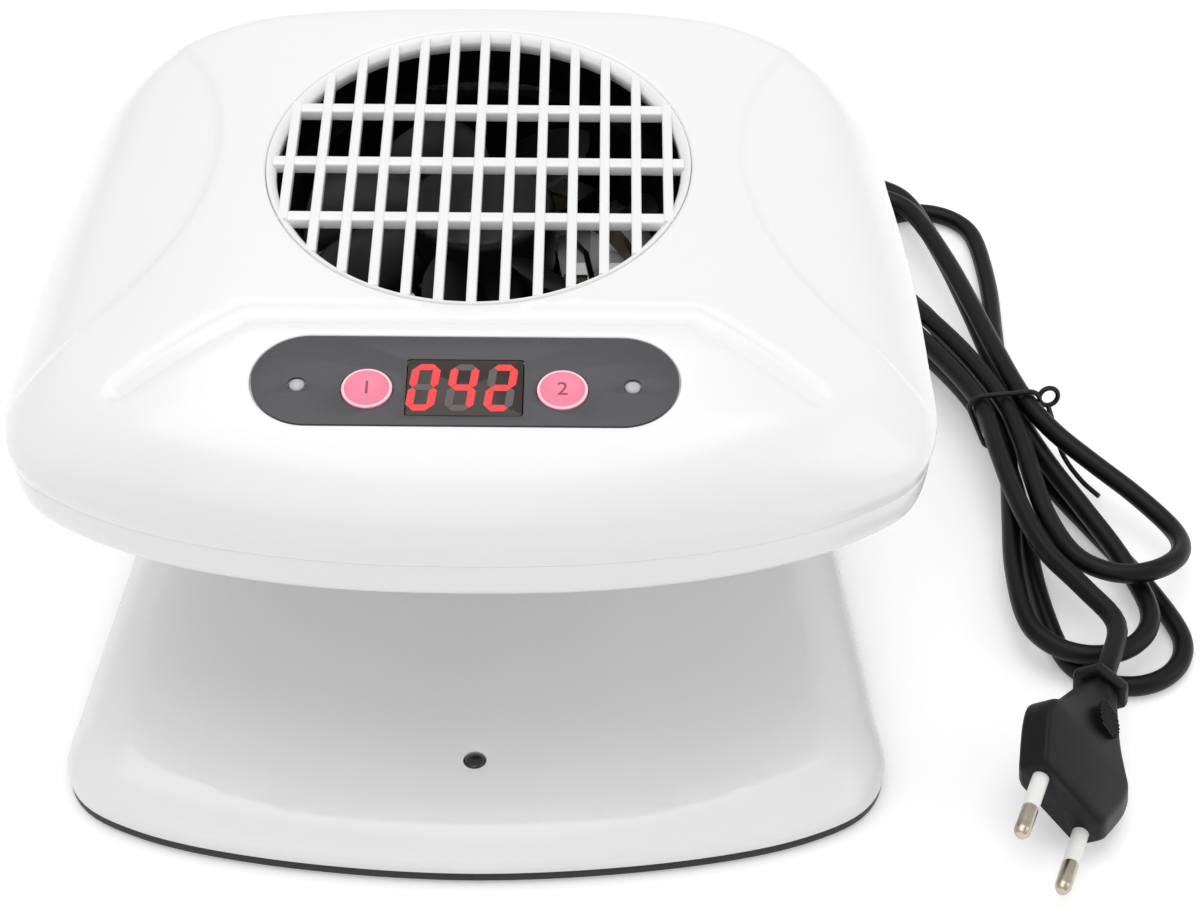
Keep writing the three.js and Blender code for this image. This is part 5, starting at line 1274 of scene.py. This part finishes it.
for a, b in border:
    spots = flat[used[a]], flat[used[b]]
    if max(spot.length for spot in spots) > INLET_RADIUS + INLET_MARGIN + TOUCH:
        faces.append((b, a, len(skin) + a, len(skin) + b))
        continue
    for end in (a, b):
        if end in around:
            continue
        way = skin[end] - Vector((0, GRILLE_Y, GRILLE_HEIGHT))
        angle = math.atan2(way.y / math.cos(inlet_turn), way.x)
        start = len(vertices)
        for radius, depth in INLET_PROFILE:
            ring = Vector((radius * math.cos(angle), radius * math.sin(angle), -depth))
            vertices.append(tilt @ ring + Vector((0, GRILLE_Y, GRILLE_HEIGHT)))
        around[end] = [end, *range(start, len(vertices)), len(skin) + end]
    for i in range(len(INLET_PROFILE) + 1):
        faces.append((around[b][i], around[a][i], around[a][i + 1], around[b][i + 1]))
fit(mesh_piece("top_cover_shell", vertices, faces, white_abs, sharp=38), "white", "top_cover")

# ---- Inlet grille ----
# A dished ring that drops into the cover's inlet, with thirteen bars from front to back. Three
# broader bars cross them a little lower. One moulding in the cover's white ABS.

GRILLE_RADIUS = 50.4
GRILLE_RING = [
    (0, -0.35), (-0.25, -0.05), (-0.7, -0.05), (-2.2, -1.8), (-2.4, -2.1), (-2.4, -4.35), (-2.25, -4.5),
    (-0.3, -4.5), (-0.2, -4.35),
]
BAR_SIZES = {
    "Count": 13, "Pitch": 7.47 * MM, "Circle": 49.75 * MM, "Width": 2.35 * MM, "Depth": 3 * MM,
    "Rounding": 0.45 * MM,
}
CROSS_BAR_SIZES = {
    "Count": 3, "Pitch": 20 * MM, "Circle": 48.8 * MM, "Width": 3.3 * MM, "Depth": 3 * MM,
    "Rounding": 0.5 * MM,
}
BAR_MIDDLE = -1.5
CROSS_BAR_MIDDLE = -1.9


def hoop(name, section, material, segments=160, sharp=40):
    """A closed ring about Z whose section is a list of radius and height."""
    rings = [level_ring(radius, height, segments) for radius, height in section]
    return lofted(name, rings, material, sharp, capped=False)


grille_ring = hoop("grille_ring", [(GRILLE_RADIUS + out, height) for out, height in GRILLE_RING], white_abs)
grille_bars = grow("grille_bars", bars, BAR_SIZES, white_abs)
place_mesh(grille_bars, Matrix.Translation((0, 0, BAR_MIDDLE)))
cross_bars = grow("grille_cross_bars", bars, CROSS_BAR_SIZES, white_abs)
place_mesh(cross_bars, Matrix.Translation((0, 0, CROSS_BAR_MIDDLE)) @ Matrix.Rotation(math.pi / 2, 4, "Z"))
for piece, *nodes in ((grille_ring, "inlet_grille"), (grille_bars,), (cross_bars,)):
    fit(smoothed(place_mesh(piece, inlet_stand), sharp=50), "white", *nodes)

# ---- Fan rotor ----
# A smooth black moulded hub with seven thin swept blades, glossy enough to catch the light
# between the bars. It turns on the fan's motor.

HUB_RADIUS = 18
HUB_TOP = 109.5
HUB_BOTTOM = 90.8
HUB_WALL = 1.8
HUB_ROUNDING = [(0, 2.2), (0.35, 1.1), (1.1, 0.35), (2.2, 0)]
BLADE_COUNT = 7
BLADE_ROOT = 17.1
BLADE_TIP = 43
BLADE_PITCHES = (math.radians(42), math.radians(27))
BLADE_CHORDS = (15.5, 25)
BLADE_SWEEP = math.radians(16)
BLADE_CAMBER = 1.8
BLADE_THICKNESS = 1.5
BLADE_BLUNTNESS = 0.6
BLADE_STEPS = 20
BLADE_SECTION_STEPS = 28


def blade_ring(along):
    """One section of a blade: a bowed strip with round edges, wrapped round the hub's axis."""
    radius, pitch, chord = (
        mixed(*ends, along) for ends in ((BLADE_ROOT, BLADE_TIP), BLADE_PITCHES, BLADE_CHORDS)
    )
    section = []
    for turn in full_turn(BLADE_SECTION_STEPS):
        share = math.copysign(abs(math.cos(turn)) ** BLADE_BLUNTNESS, math.cos(turn))
        reach = share * chord / 2
        bow = BLADE_CAMBER * (1 - share * share) + math.sin(turn) * BLADE_THICKNESS / 2
        around = reach * math.cos(pitch) + bow * math.sin(pitch)
        height = (HUB_TOP + HUB_BOTTOM) / 2 - reach * math.sin(pitch) + bow * math.cos(pitch)
        angle = BLADE_SWEEP * along * along + around / radius
        section.append((radius * math.cos(angle), radius * math.sin(angle), height))
    return section


def round_tree():
    """Copies of a shape in even turns round Z."""
    tree, given = new_tree("round_copies", {"Count": 6})
    row = step_node(tree, "GeometryNodeMeshLine", {
        "Count": (given, "Count"), "Offset": (0, 0, 0),
    }, mode="OFFSET")
    number = step_node(tree, "GeometryNodeInputIndex")
    share = worked(tree, "DIVIDE", (number, 0), (given, "Count"))
    spin = step_node(tree, "ShaderNodeCombineXYZ", {"Z": worked(tree, "MULTIPLY", share, 2 * math.pi)})
    return ended(tree, copied(tree, (row, 0), (given, "Geometry"), Rotation=(spin, 0)))


fan_black = moulded(
    "fan_black", "151516", "0f0f10", 0.38, spread=0.06, grain=1.1, relief=0.02, cloud=30, specular=0.35,
)
blade = lofted("blade", [blade_ring(i / BLADE_STEPS) for i in range(BLADE_STEPS + 1)])
rotor_blades = grow("fan_blades", round_tree(), {"Count": BLADE_COUNT}, fan_black, blade.data)
bpy.data.objects.remove(blade)
rotor_hub = turned("fan_hub", [
    (0, HUB_TOP - HUB_WALL), (HUB_RADIUS - HUB_WALL, HUB_TOP - HUB_WALL), (HUB_RADIUS - HUB_WALL, HUB_BOTTOM),
    (HUB_RADIUS, HUB_BOTTOM), *((HUB_RADIUS - inward, HUB_TOP - down) for inward, down in HUB_ROUNDING),
    (0, HUB_TOP),
], fan_black, segments=96, sharp=40)
for piece, *nodes in ((rotor_blades,), (rotor_hub, "fan_rotor")):
    place_mesh(piece, Matrix.Translation((0, GRILLE_Y, 0)))
    fit(smoothed(piece), "black", *nodes, body="fan_rotor")

# ---- Fan collar ----
# A thin matt black ring that seals the fan's square frame to the grille. It stands on the frame, is cut off
# level at its foot and follows the tilted grille at its top. Its near-black, dull finish is partly painted
# shade: it keeps the inside of the inlet dark behind the bars.

COLLAR_INNER = 47.9
COLLAR_OUTER = 49.4
COLLAR_TOP = -4.6
COLLAR_DEPTH = 16
FAN_TOP = 110.5

# Near-black and almost unreflecting: partly the black plastic of the fan's frame and collar, partly painted
# shade for the dark inside of the inlet behind the bars.
frame_black = moulded(
    "frame_black", "060606", "040404", 0.8, spread=0.05, grain=0.8, relief=0.03, cloud=20, specular=0.1,
)
collar = hoop("fan_collar", [
    (COLLAR_OUTER, COLLAR_TOP), (COLLAR_INNER, COLLAR_TOP), (COLLAR_INNER, -COLLAR_DEPTH),
    (COLLAR_OUTER, -COLLAR_DEPTH),
], frame_black)
place_mesh(collar, inlet_stand)
for vertex in collar.data.vertices:
    vertex.co.z = max(vertex.co.z, (FAN_TOP + CLEARANCE) * MM)
fit(collar, "black")

# ---- Head underside ----
# The head's lower shell, white ABS: a shallow tray with a rounded edge, screwed up into the top
# cover. Nine slots in a circle let the air out over the nails.

HEAD_BOTTOM = 79
LIP_RUN = 3
LIP_STEPS = 14
LIP_ROUNDING = 0.5
OUTLET_SLOTS = 9
OUTLET_PITCH = 8
OUTLET_WIDTH = 4.8
OUTLET_RADIUS = 38
OUTLET_SPACING = 0.8
LEAD_HOLE = ((-30, 70), (30, 82))
HEAD_SCREWS = [(-80, -44), (80, -44), (-80, 60), (80, 60)]
SCREW_RECESS = 1.2
SCREW_HEAD_RADIUS = 3.2
SCREW_HEAD_HEIGHT = 1.8
SCREW_SHANK_RADIUS = 1.7
SCREW_LENGTH = 14
SCREW_TIP = 1.4
SCREW_TIP_SHARE = 0.5
SCREW_HEAD_SHARES = [(0.8, 0), (0.95, 0.15), (1, 0.45), (1, 1)]


def head_ring(distance, height):
    """The head's outline, inset by this distance, at this height."""
    ring = []
    for angle in angles[::2]:
        way = Vector((math.cos(angle), math.sin(angle)))
        ring.append((*(inlet_middle + way * (head_reach(angle) - distance)), height))
    return ring


def tray(inset, bottom, top, above):
    """The lower shell's form, or the hollow in it at this inset, which goes on above its rim."""
    rings = [head_ring(PARTING_TUCK + inset, top + above)] if above else []
    for angle in arc_steps(LIP_STEPS):
        distance = PARTING_TUCK + inset + (LIP_RUN - PARTING_TUCK) * (1 - math.cos(angle))
        rings.append(head_ring(distance, bottom + (top - bottom) * (1 - math.sin(angle))))
    return lofted("tray", rings)


def sheet_of(name, shape, low, high):
    """A flat body of this outline between two heights."""
    return lofted(name, [[(x, y, z) for x, y in shape] for z in (low, high)])


tray_top = PARTING_HEIGHT - PARTING_GAP / 2
cut_low, cut_high = HEAD_BOTTOM - BEYOND, HEAD_BOTTOM + WALL + BEYOND
cuts = []
for i in range(OUTLET_SLOTS):
    x = (i - (OUTLET_SLOTS - 1) / 2) * OUTLET_PITCH
    slot_shape = stadium(2 * math.sqrt(OUTLET_RADIUS**2 - x * x), OUTLET_WIDTH, OUTLET_SPACING)
    stand = Matrix.Translation((x, GRILLE_Y, 0)) @ Matrix.Rotation(math.pi / 2, 4, "Z")
    cuts.append(place_mesh(sheet_of("slot", slot_shape, cut_low, cut_high), stand))
cuts.append(box_of("hole", (*LEAD_HOLE[0], cut_low), (*LEAD_HOLE[1], cut_high)))
for x, y in HEAD_SCREWS:
    cuts.append(rod("pocket", SCREW_HEAD_RADIUS + SEAM_GAP, cut_low, cut_high, Matrix.Translation((x, y, 0))))
underside = joined("underside", [
    tray(0, HEAD_BOTTOM, tray_top, 0), tray(WALL, HEAD_BOTTOM + WALL, tray_top, BEYOND), *cuts,
], "DIFFERENCE")
turn_out(underside.data)
fit(painted(smoothed(edge_softened(underside, LIP_ROUNDING)), white_abs), "white", "head_underside")

# ---- Base plate, feet and screws ----
# A flat black plate closes the base from below, on four rubber feet. Four screws hold it and
# four more hold the head, all with cross drives and dull zinc plating.

PLATE_BOTTOM = 1
PLATE_TOP = 3.8
PLATE_INSET = 0.2
PLATE_EASE = 0.5
PLATE_EASE_SHARE = 0.3
FOOT_RADIUS = 7
FOOT_POCKET = 0.8
FOOT_HOLLOW = 0.35
FOOT_RIM = (2.4, 1.8)
FOOT_ROUNDING = 0.3
FEET = [(-74, -66), (74, -66), (-74, 70), (74, 70)]
BASE_SCREWS = [(-52, -70), (52, -70), (-58, 80.5), (58, 80.5)]
BASE_SCREW_HEAD_HEIGHT = 1.2
BASE_SCREW_LENGTH = 6
BASE_SCREW_FOOT = PLATE_BOTTOM + CLEARANCE
CROSS_LENGTH = 3.4
CROSS_WIDTH = 0.8
CROSS_DEPTH = 1
CROSS_DEPTH_SHARE = 0.7


def scatter_tree():
    """A copy of a part at each of the base mesh's points."""
    tree, given = new_tree("part_copies", {})
    tree.interface.new_socket("Part", in_out="INPUT", socket_type="NodeSocketObject")
    part = step_node(tree, "GeometryNodeObjectInfo", {"Object": (given, "Part")})
    return ended(tree, copied(tree, (given, "Geometry"), (part, "Geometry")))


def cross_screw(head_height, length):
    """A pan head with a cross drive in its lower face, and its shank above it."""
    screw = turned("screw", [
        (0, 0), *((SCREW_HEAD_RADIUS * out, head_height * up) for out, up in SCREW_HEAD_SHARES),
        (SCREW_SHANK_RADIUS, head_height), (SCREW_SHANK_RADIUS, length - SCREW_TIP),
        (SCREW_SHANK_RADIUS * SCREW_TIP_SHARE, length), (0, length),
    ], segments=32)
    top = min(CROSS_DEPTH, head_height * CROSS_DEPTH_SHARE)
    for long_way in ((CROSS_LENGTH, CROSS_WIDTH), (CROSS_WIDTH, CROSS_LENGTH)):
        x, y = (side / 2 for side in long_way)
        drive = box_of("drive", (-x, -y, -CROSS_DEPTH), (x, y, top))
        screw = joined("screw", [screw, drive], "DIFFERENCE")
    return screw


def numbered(name, count):
    """The names of this many alike parts."""
    return [f"{name}_{number}" for number in range(1, count + 1)]


part_copies = scatter_tree()
base_black = moulded(
    "base_black", "101011", "0b0b0c", 0.5, spread=0.06, grain=0.8, relief=0.04, cloud=40, specular=0.4,
)
zinc_plate = moulded(
    "zinc_plate", "a9aaa6", "86878a", 0.34, spread=0.08, grain=0.5, relief=0.01, cloud=3, Metallic=1.0,
)
plate = lofted("base_plate_shown", [
    at_height(inset_outline(base_outline, PLATE_INSET + ease), height) for ease, height in (
        (PLATE_EASE, PLATE_BOTTOM),
        (PLATE_EASE * PLATE_EASE_SHARE, PLATE_BOTTOM + PLATE_EASE * PLATE_EASE_SHARE),
        (0, PLATE_BOTTOM + PLATE_EASE), (0, PLATE_TOP),
    )
])
pockets = []
for places, radius, high in (
    (FEET, FOOT_RADIUS + CLEARANCE, PLATE_BOTTOM + FOOT_POCKET),
    (BASE_SCREWS, SCREW_HEAD_RADIUS + CLEARANCE, BASE_SCREW_FOOT + BASE_SCREW_HEAD_HEIGHT + CLEARANCE),
    (BASE_SCREWS, SCREW_SHANK_RADIUS + CLEARANCE, PLATE_TOP + BEYOND),
):
    for x, y in places:
        pockets.append(rod("pocket", radius, -BEYOND, high, Matrix.Translation((x, y, 0))))
plate = smoothed(joined("base_plate_shown", [plate, *pockets], "DIFFERENCE"), sharp=35)
fit(painted(plate, base_black), "black", "base_plate")
foot_top = PLATE_BOTTOM + FOOT_POCKET - CLEARANCE
foot = turned("foot", eased([
    (0, FOOT_HOLLOW), (FOOT_RADIUS - FOOT_RIM[0], FOOT_HOLLOW), (FOOT_RADIUS - FOOT_RIM[1], 0),
    (FOOT_RADIUS - FOOT_POCKET, 0), (FOOT_RADIUS, FOOT_POCKET), (FOOT_RADIUS, foot_top), (0, foot_top),
], FOOT_ROUNDING))
base_screw = cross_screw(BASE_SCREW_HEAD_HEIGHT, BASE_SCREW_LENGTH)
head_screw = cross_screw(SCREW_HEAD_HEIGHT, SCREW_LENGTH)
for name, part, places, height, material, node, slot in (
    ("rubber_feet", foot, FEET, 0, soft_rubber, "rubber_foot", "rubber"),
    ("base_screws", base_screw, BASE_SCREWS, BASE_SCREW_FOOT, zinc_plate, "base_screw", "screw"),
    ("head_screws", head_screw, HEAD_SCREWS, HEAD_BOTTOM + SCREW_RECESS, zinc_plate, "head_screw", "screw"),
):
    spots = bpy.data.meshes.new(name + "_spots")
    spots.from_pydata([Vector((x, y, height)) * MM for x, y in places], [], [])
    piece = grow(name, part_copies, {"Part": part}, material, spots)
    bpy.data.objects.remove(part)
    fit(smoothed(piece, sharp=35), slot, *numbered(node, len(places)))

# ---- Hand sensor ----
# A dark domed lens that stands a little proud of the dish, with its collar under the shell.

SENSOR_COLLAR = 6.3
SENSOR_FLANGE = 1
SENSOR_TIP = 12.8
SENSOR_DOME = 0.9
DOME_STEPS = 8


def domed(radius, tip, dome):
    """The profile of a lens's dome, from its rim up to its tip."""
    return [(radius * math.cos(a), tip - dome + dome * math.sin(a)) for a in arc_steps(DOME_STEPS)]


lens_black = moulded(
    "lens_black", "101012", "060607", 0.12, spread=0.04, grain=0.6, relief=0.004, cloud=3,
    specular=0.6, Coat_Weight=0.4, Coat_Roughness=0.05,
)
sensor = turned("sensor_lens", [
    (0, SENSOR_COLLAR), (SENSOR_RADIUS + SENSOR_FLANGE, SENSOR_COLLAR),
    (SENSOR_RADIUS + SENSOR_FLANGE, SENSOR_COLLAR + SENSOR_FLANGE),
    (SENSOR_RADIUS, SENSOR_COLLAR + SENSOR_FLANGE), *domed(SENSOR_RADIUS, SENSOR_TIP, SENSOR_DOME),
], lens_black, segments=40)
fit(place_mesh(sensor, sensor_stand), "black", "hand_sensor")

# ---- Control label ----
# A printed polycarbonate sheet with round ends, dark grey with a fine grain, glued in the
# cover's recess. It leaves the display window, the buttons and the lamps open.

LABEL_THICKNESS = 0.5
LABEL_EDGE_SPACING = 0.7
LABEL_ROUNDING = 0.12

label_grey = moulded(
    "label_grey", "4c4c4f", "444447", 0.4, spread=0.05, grain=0.35, relief=0.02, cloud=1.1, specular=0.4,
)
sheet_shape = stadium(LABEL_LENGTH - 2 * SEAM_GAP, LABEL_WIDTH - 2 * SEAM_GAP, LABEL_EDGE_SPACING)
label = joined("label_sheet", [
    sheet_of("label_sheet", sheet_shape, -LABEL_THICKNESS, 0),
    *(sheet_of("opening", shape, -BEYOND, BEYOND) for shape in openings(CLEARANCE)),
], "DIFFERENCE")
turn_out(label.data)
label = painted(smoothed(edge_softened(label, LABEL_ROUNDING)), label_grey)
fit(place_mesh(label, panel_stand), "label", "control_label")

# ---- Display ----
# Three seven-segment digits glow red behind a smoked window. Segments that are off are given a faint grey
# glow, which is painted light: they are not lit.

WINDOW_TOP = -0.06
WINDOW_EDGE = 0.15
WINDOW_BOTTOM = -1.2
DISPLAY_TOP = -1.5
DISPLAY_BOTTOM = -8.9
DIGIT_MIDDLES = (-9.1, -0.6, 7.9)
DIGIT_WIDTH = 4.6
DIGIT_HEIGHT = 11.6
DIGIT_LEAN = math.tan(math.radians(6))
SEGMENT_WIDTH = 1.75
SEGMENT_GAP = 0.05
SEGMENT_DEPTH = 0.12
SEGMENTS = {
    "a": (0, 1, 0), "b": (1, 0.5, 1), "c": (1, -0.5, 1), "d": (0, -1, 0),
    "e": (-1, -0.5, 1), "f": (-1, 0.5, 1), "g": (0, 0, 0),
}
READING = ("abcdef", "bcfg", "abdeg")

smoked = moulded(
    "smoked_window", "352d29", "2f2824", 0.16, spread=0.03, grain=0.8, relief=0.003, cloud=8, specular=0.35,
)
window_stand = panel_stand @ Matrix.Translation((0, WINDOW_Y, 0))
window = sheet_of("window_pane", window_shape, WINDOW_BOTTOM, WINDOW_TOP)
window = painted(smoothed(edge_softened(window, WINDOW_EDGE)), smoked)
fit(place_mesh(window, window_stand), "window", "display_window")
block = painted(sheet_of("display_block", window_shape, DISPLAY_BOTTOM, DISPLAY_TOP), smoked)
fit(place_mesh(block, window_stand), "display", "digit_display")


def segment_shape(across, up, upright):
    """One segment: a bar with pointed ends, leaning with its digit."""
    long_way = (DIGIT_HEIGHT / 2 if upright else DIGIT_WIDTH) / 2 - SEGMENT_GAP
    half = SEGMENT_WIDTH / 2
    bar = [
        (-long_way, 0), (-long_way + half, -half), (long_way - half, -half), (long_way, 0),
        (long_way - half, half), (-long_way + half, half),
    ]
    if upright:
        bar = [(-y, x) for x, y in bar]
    middle = (across * DIGIT_WIDTH / 2, up * DIGIT_HEIGHT / 2)
    return [(x + middle[0] + (y + middle[1]) * DIGIT_LEAN, y + middle[1]) for x, y in bar]


def glowing(name, code, strength, base):
    """The finish of a segment that glows in this colour."""
    material = moulded(name, base, base, 0.4, grain=0.5, relief=0.002, cloud=4)
    feed(material.node_tree, material.node_tree.nodes["Principled BSDF"], {
        "Emission Color": colour_of(code), "Emission Strength": strength,
    })
    return material


lit_red = glowing("lit_red", "ff3038", 0.75, "7a2420")
# The off segments glow faintly grey: painted light, as they are not lit.
unlit_grey = glowing("unlit_grey", "5c5654", 0.25, "4a4442")
for lit, name, material in ((True, "lit_segments", lit_red), (False, "unlit_segments", unlit_grey)):
    vertices, faces = [], []
    for middle, digit in zip(DIGIT_MIDDLES, READING):
        for segment, (across, up, upright) in SEGMENTS.items():
            if (segment in digit) != lit:
                continue
            shape = segment_shape(across, up, upright)
            start, count = len(vertices), len(shape)
            for height in (-SEGMENT_DEPTH, 0):
                vertices += [(x + middle, y + WINDOW_Y, height) for x, y in shape]
            faces.append(tuple(start + i for i in reversed(range(count))))
            faces.append(tuple(start + count + i for i in range(count)))
            for i in range(count):
                after = (i + 1) % count
                faces.append((start + i, start + after, start + count + after, start + count + i))
    fit(place_mesh(mesh_piece(name, vertices, faces, material, sharp=30), panel_stand), "display")

# ---- Buttons and lamps ----
# Two round pink push buttons with a pale rim ring, each pressed on to its switch, with a plain
# number on it. Beside them stand two small milky indicator lamps.

BUTTON_PROUD = 0.4
BUTTON_RING = 0.62
BUTTON_EDGE = 0.25
BUTTON_BEVEL = 0.08
BUTTON_HOLLOW = 0.04
RING_SLOPE = 0.05
RING_LOWEST = -0.5
FLANGE_TOP = -2.8
FLANGE_BOTTOM = -4
FLANGE_REACH = 1.4
STEM_RADIUS = 1.6
STEM_BOTTOM = -6.5
NUMBER_SIZE = 5.2
NUMBER_THICKNESS = 0.03
NUMBER_SINK = 0.02
LAMP_BOTTOM = -8.9
LAMP_PROUD = 0.3
LAMP_DOME = 0.8
LAMP_FLANGE = 0.3
LAMP_FLANGE_DEPTH = 1.2

button_pink = moulded(
    "button_pink", "f58ba6", "f0809d", 0.34, spread=0.05, grain=0.7, relief=0.006, cloud=3, specular=0.4,
)
ring_pink = moulded("ring_pink", "fbd3dc", "f6c8d3", 0.34, grain=0.7, relief=0.006, cloud=3)
number_plum = moulded("number_plum", "98405c", "8c3a54", 0.5, grain=0.4, relief=0.004, cloud=2)
lamp_milk = moulded(
    "lamp_milk", "b9b9bd", "aeaeb2", 0.22, spread=0.04, grain=0.6, relief=0.004, cloud=2, Coat_Weight=0.3,
)
flange_radius, ring_radius = BUTTON_RADIUS + FLANGE_REACH, BUTTON_RADIUS - BUTTON_RING
button_floor = BUTTON_PROUD - BUTTON_HOLLOW
button_profile = [
    (0, STEM_BOTTOM), (STEM_RADIUS, STEM_BOTTOM), (STEM_RADIUS, FLANGE_BOTTOM),
    (flange_radius, FLANGE_BOTTOM), (flange_radius, FLANGE_TOP), (BUTTON_RADIUS, FLANGE_TOP),
    (BUTTON_RADIUS, BUTTON_PROUD - BUTTON_EDGE), (BUTTON_RADIUS - BUTTON_BEVEL, BUTTON_PROUD - BUTTON_BEVEL),
    (BUTTON_RADIUS - BUTTON_EDGE, BUTTON_PROUD), (ring_radius, BUTTON_PROUD),
    (ring_radius - RING_SLOPE, button_floor), (0, button_floor),
]
lamp_foot, flange_top = LAMP_RADIUS + LAMP_FLANGE, LAMP_BOTTOM + LAMP_FLANGE_DEPTH
lamp_profile = [
    (0, LAMP_BOTTOM), (lamp_foot, LAMP_BOTTOM), (lamp_foot, flange_top), (LAMP_RADIUS, flange_top),
    *domed(LAMP_RADIUS, LAMP_PROUD, LAMP_DOME),
]
for side, name, mark in ((-1, "cool", "1"), (1, "hot", "2")):
    button = turned(name + "_button_cap", button_profile, button_pink, segments=64, sharp=40)
    button.data.materials.append(ring_pink)
    for polygon in button.data.polygons:
        if polygon.center.z > RING_LOWEST * MM and polygon.center.xy.length > ring_radius * MM:
            polygon.material_index = 1
    stand = panel_stand @ Matrix.Translation((side * BUTTON_X, BUTTON_Y, 0))
    fit(place_mesh(button, stand), "button", name + "_button", body=name + "_key")
    words = bpy.data.curves.new(name + "_number", "FONT")
    words.body = mark
    words.size = NUMBER_SIZE * MM
    words.extrude = NUMBER_THICKNESS * MM
    words.align_x = "CENTER"
    words.align_y = "CENTER"
    number = bpy.data.objects.new(name + "_number", words)
    scene.collection.objects.link(number)
    number = painted(to_mesh(number), number_plum)
    place_mesh(number, stand @ Matrix.Translation((0, 0, BUTTON_PROUD - NUMBER_SINK)))
    fit(number, "button", body=name + "_key")
    lamp = turned(name + "_lamp_lens", lamp_profile, lamp_milk, segments=32)
    place_mesh(lamp, panel_stand @ Matrix.Translation((side * LAMP_X, LAMP_Y, 0)))
    fit(lamp, "lamp", name + "_lamp")

# ---- Works inside ----
# The fan's frame and motor, the heater, the boards and what stands on them, each in the finish of
# what it is made of. The plain forms of the outer parts take the finish of those parts.

board_green = moulded(
    "board_green", "2f6b3f", "285c36", 0.36, spread=0.06, grain=1.4, relief=0.02, cloud=9, Coat_Weight=0.2,
)
core_steel = moulded(
    "core_steel", "6f7073", "55565a", 0.42, spread=0.08, grain=0.5, relief=0.02, cloud=2.5, Metallic=0.9,
)
mica_sheet = moulded("mica_sheet", "6e6450", "5a5140", 0.48, spread=0.1, grain=1.8, relief=0.03, cloud=5)
heater_alloy = moulded(
    "heater_alloy", "8d8378", "6e655c", 0.38, spread=0.08, grain=0.3, relief=0.01, cloud=2, Metallic=1.0,
)
sleeve_blue = moulded("sleeve_blue", "24406b", "1c3459", 0.3, grain=0.6, relief=0.005, cloud=6)
switch_black = moulded("switch_black", "202021", "18181a", 0.46, grain=0.6, relief=0.02, cloud=5)
FINISHES = [
    (board_green, ["control_board", "power_board", "sensor_board"]),
    (switch_black, ["cool_switch", "hot_switch", "thermal_cutout"]),
    (sleeve_blue, ["heater_relay", "smoothing_capacitor"]),
    (core_steel, ["transformer", "fan_stator"]),
    # The fan's frame takes the near-black finish that is partly painted shade.
    (frame_black, ["fan_frame"]),
    (mica_sheet, ["heater_frame"]),
    (heater_alloy, ["heating_wire"]),
    (zinc_plate, [*numbered("board_screw", 2), *numbered("fan_screw", 4)]),
    (zinc_plate, [*numbered("base_screw", 4), *numbered("head_screw", 4)]),
    (white_abs, ["top_cover", "inlet_grille", "head_underside", "hand_rest", "rear_cover"]),
    (fan_black, ["fan_rotor", "base_plate", "hand_sensor"]),
    (soft_rubber, [*numbered("rubber_foot", 4), "strain_relief"]),
    (plug_pvc, ["cord_lead", "cord_hank", "plug_body", "twist_tie"]),
    (plated, numbered("plug_pin", 2)),
    (sleeve_nylon, numbered("pin_sleeve", 2)),
    (button_pink, ["cool_button", "hot_button"]),
    (lamp_milk, ["cool_lamp", "hot_lamp"]),
    (label_grey, ["control_label"]),
    (smoked, ["display_window", "digit_display"]),
]
for material, nodes in FINISHES:
    for node in nodes:
        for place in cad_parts[node].material_slots:
            place.material = material

# ---- Floor, backdrop and light ----
# The dryer stands on a pale table under wide soft lamps. What the camera sees of the world is
# white, and the floor keeps the soft shadow.

FLOOR_REACH = 3000
FLOOR_TONE = (0.9, 0.9, 0.9)
FLOOR_ROUGHNESS = 0.9
FLOOR_LIFT = 0.3
ROOM_LEVEL = 0.655
LIGHT_AIM = (0, 0, 60)
LIGHTS = {
    "overhead_box": ((-150, 100, 1500), (1500, 1500), 10.4),
    "front_box": ((-500, -1400, 900), (1200, 900), 1.6),
    "side_box": ((1300, -200, 700), (900, 900), 2.7),
}


def seen_level(tree, kinds, low, high):
    """One strength for the kinds of ray that see this surface lit up, and another for the rest."""
    rays = step_node(tree, "ShaderNodeLightPath")
    seen = (rays, kinds[0])
    for kind in kinds[1:]:
        seen = worked(tree, "MAXIMUM", seen, (rays, kind))
    level = step_node(tree, "ShaderNodeMapRange", {"Value": seen, "To Min": low, "To Max": high})
    return level, "Result"


corners = [(x * FLOOR_REACH, y * FLOOR_REACH, 0) for x, y in ((-1, -1), (1, -1), (1, 1), (-1, 1))]
table_white = bpy.data.materials.new("table_white")
table_white.use_nodes = True
feed(table_white.node_tree, table_white.node_tree.nodes["Principled BSDF"], {
    "Base Color": (*FLOOR_TONE, 1), "Roughness": FLOOR_ROUGHNESS, "Specular IOR Level": 0,
    "Emission Color": (1, 1, 1, 1),
    "Emission Strength": seen_level(
        table_white.node_tree, ("Is Camera Ray", "Is Glossy Ray", "Is Transmission Ray"), 0, FLOOR_LIFT,
    ),
})
mesh_piece("floor", corners, [(0, 1, 2, 3)], table_white)

scene.world = bpy.data.worlds.new("studio")
scene.world.use_nodes = True
feed(scene.world.node_tree, scene.world.node_tree.nodes["Background"], {
    "Color": (1, 1, 1, 1),
    "Strength": seen_level(scene.world.node_tree, ("Is Camera Ray", "Is Transmission Ray"), ROOM_LEVEL, 1),
})

for name, (place, size, power) in LIGHTS.items():
    data = bpy.data.lights.new(name, "AREA")
    data.shape = "RECTANGLE"
    data.size, data.size_y = (side * MM for side in size)
    data.energy = power
    softbox = bpy.data.objects.new(name, data)
    softbox.location = Vector(place) * MM
    softbox.rotation_euler = (Vector(LIGHT_AIM) - Vector(place)).to_track_quat("-Z", "Y").to_euler()
    scene.collection.objects.link(softbox)
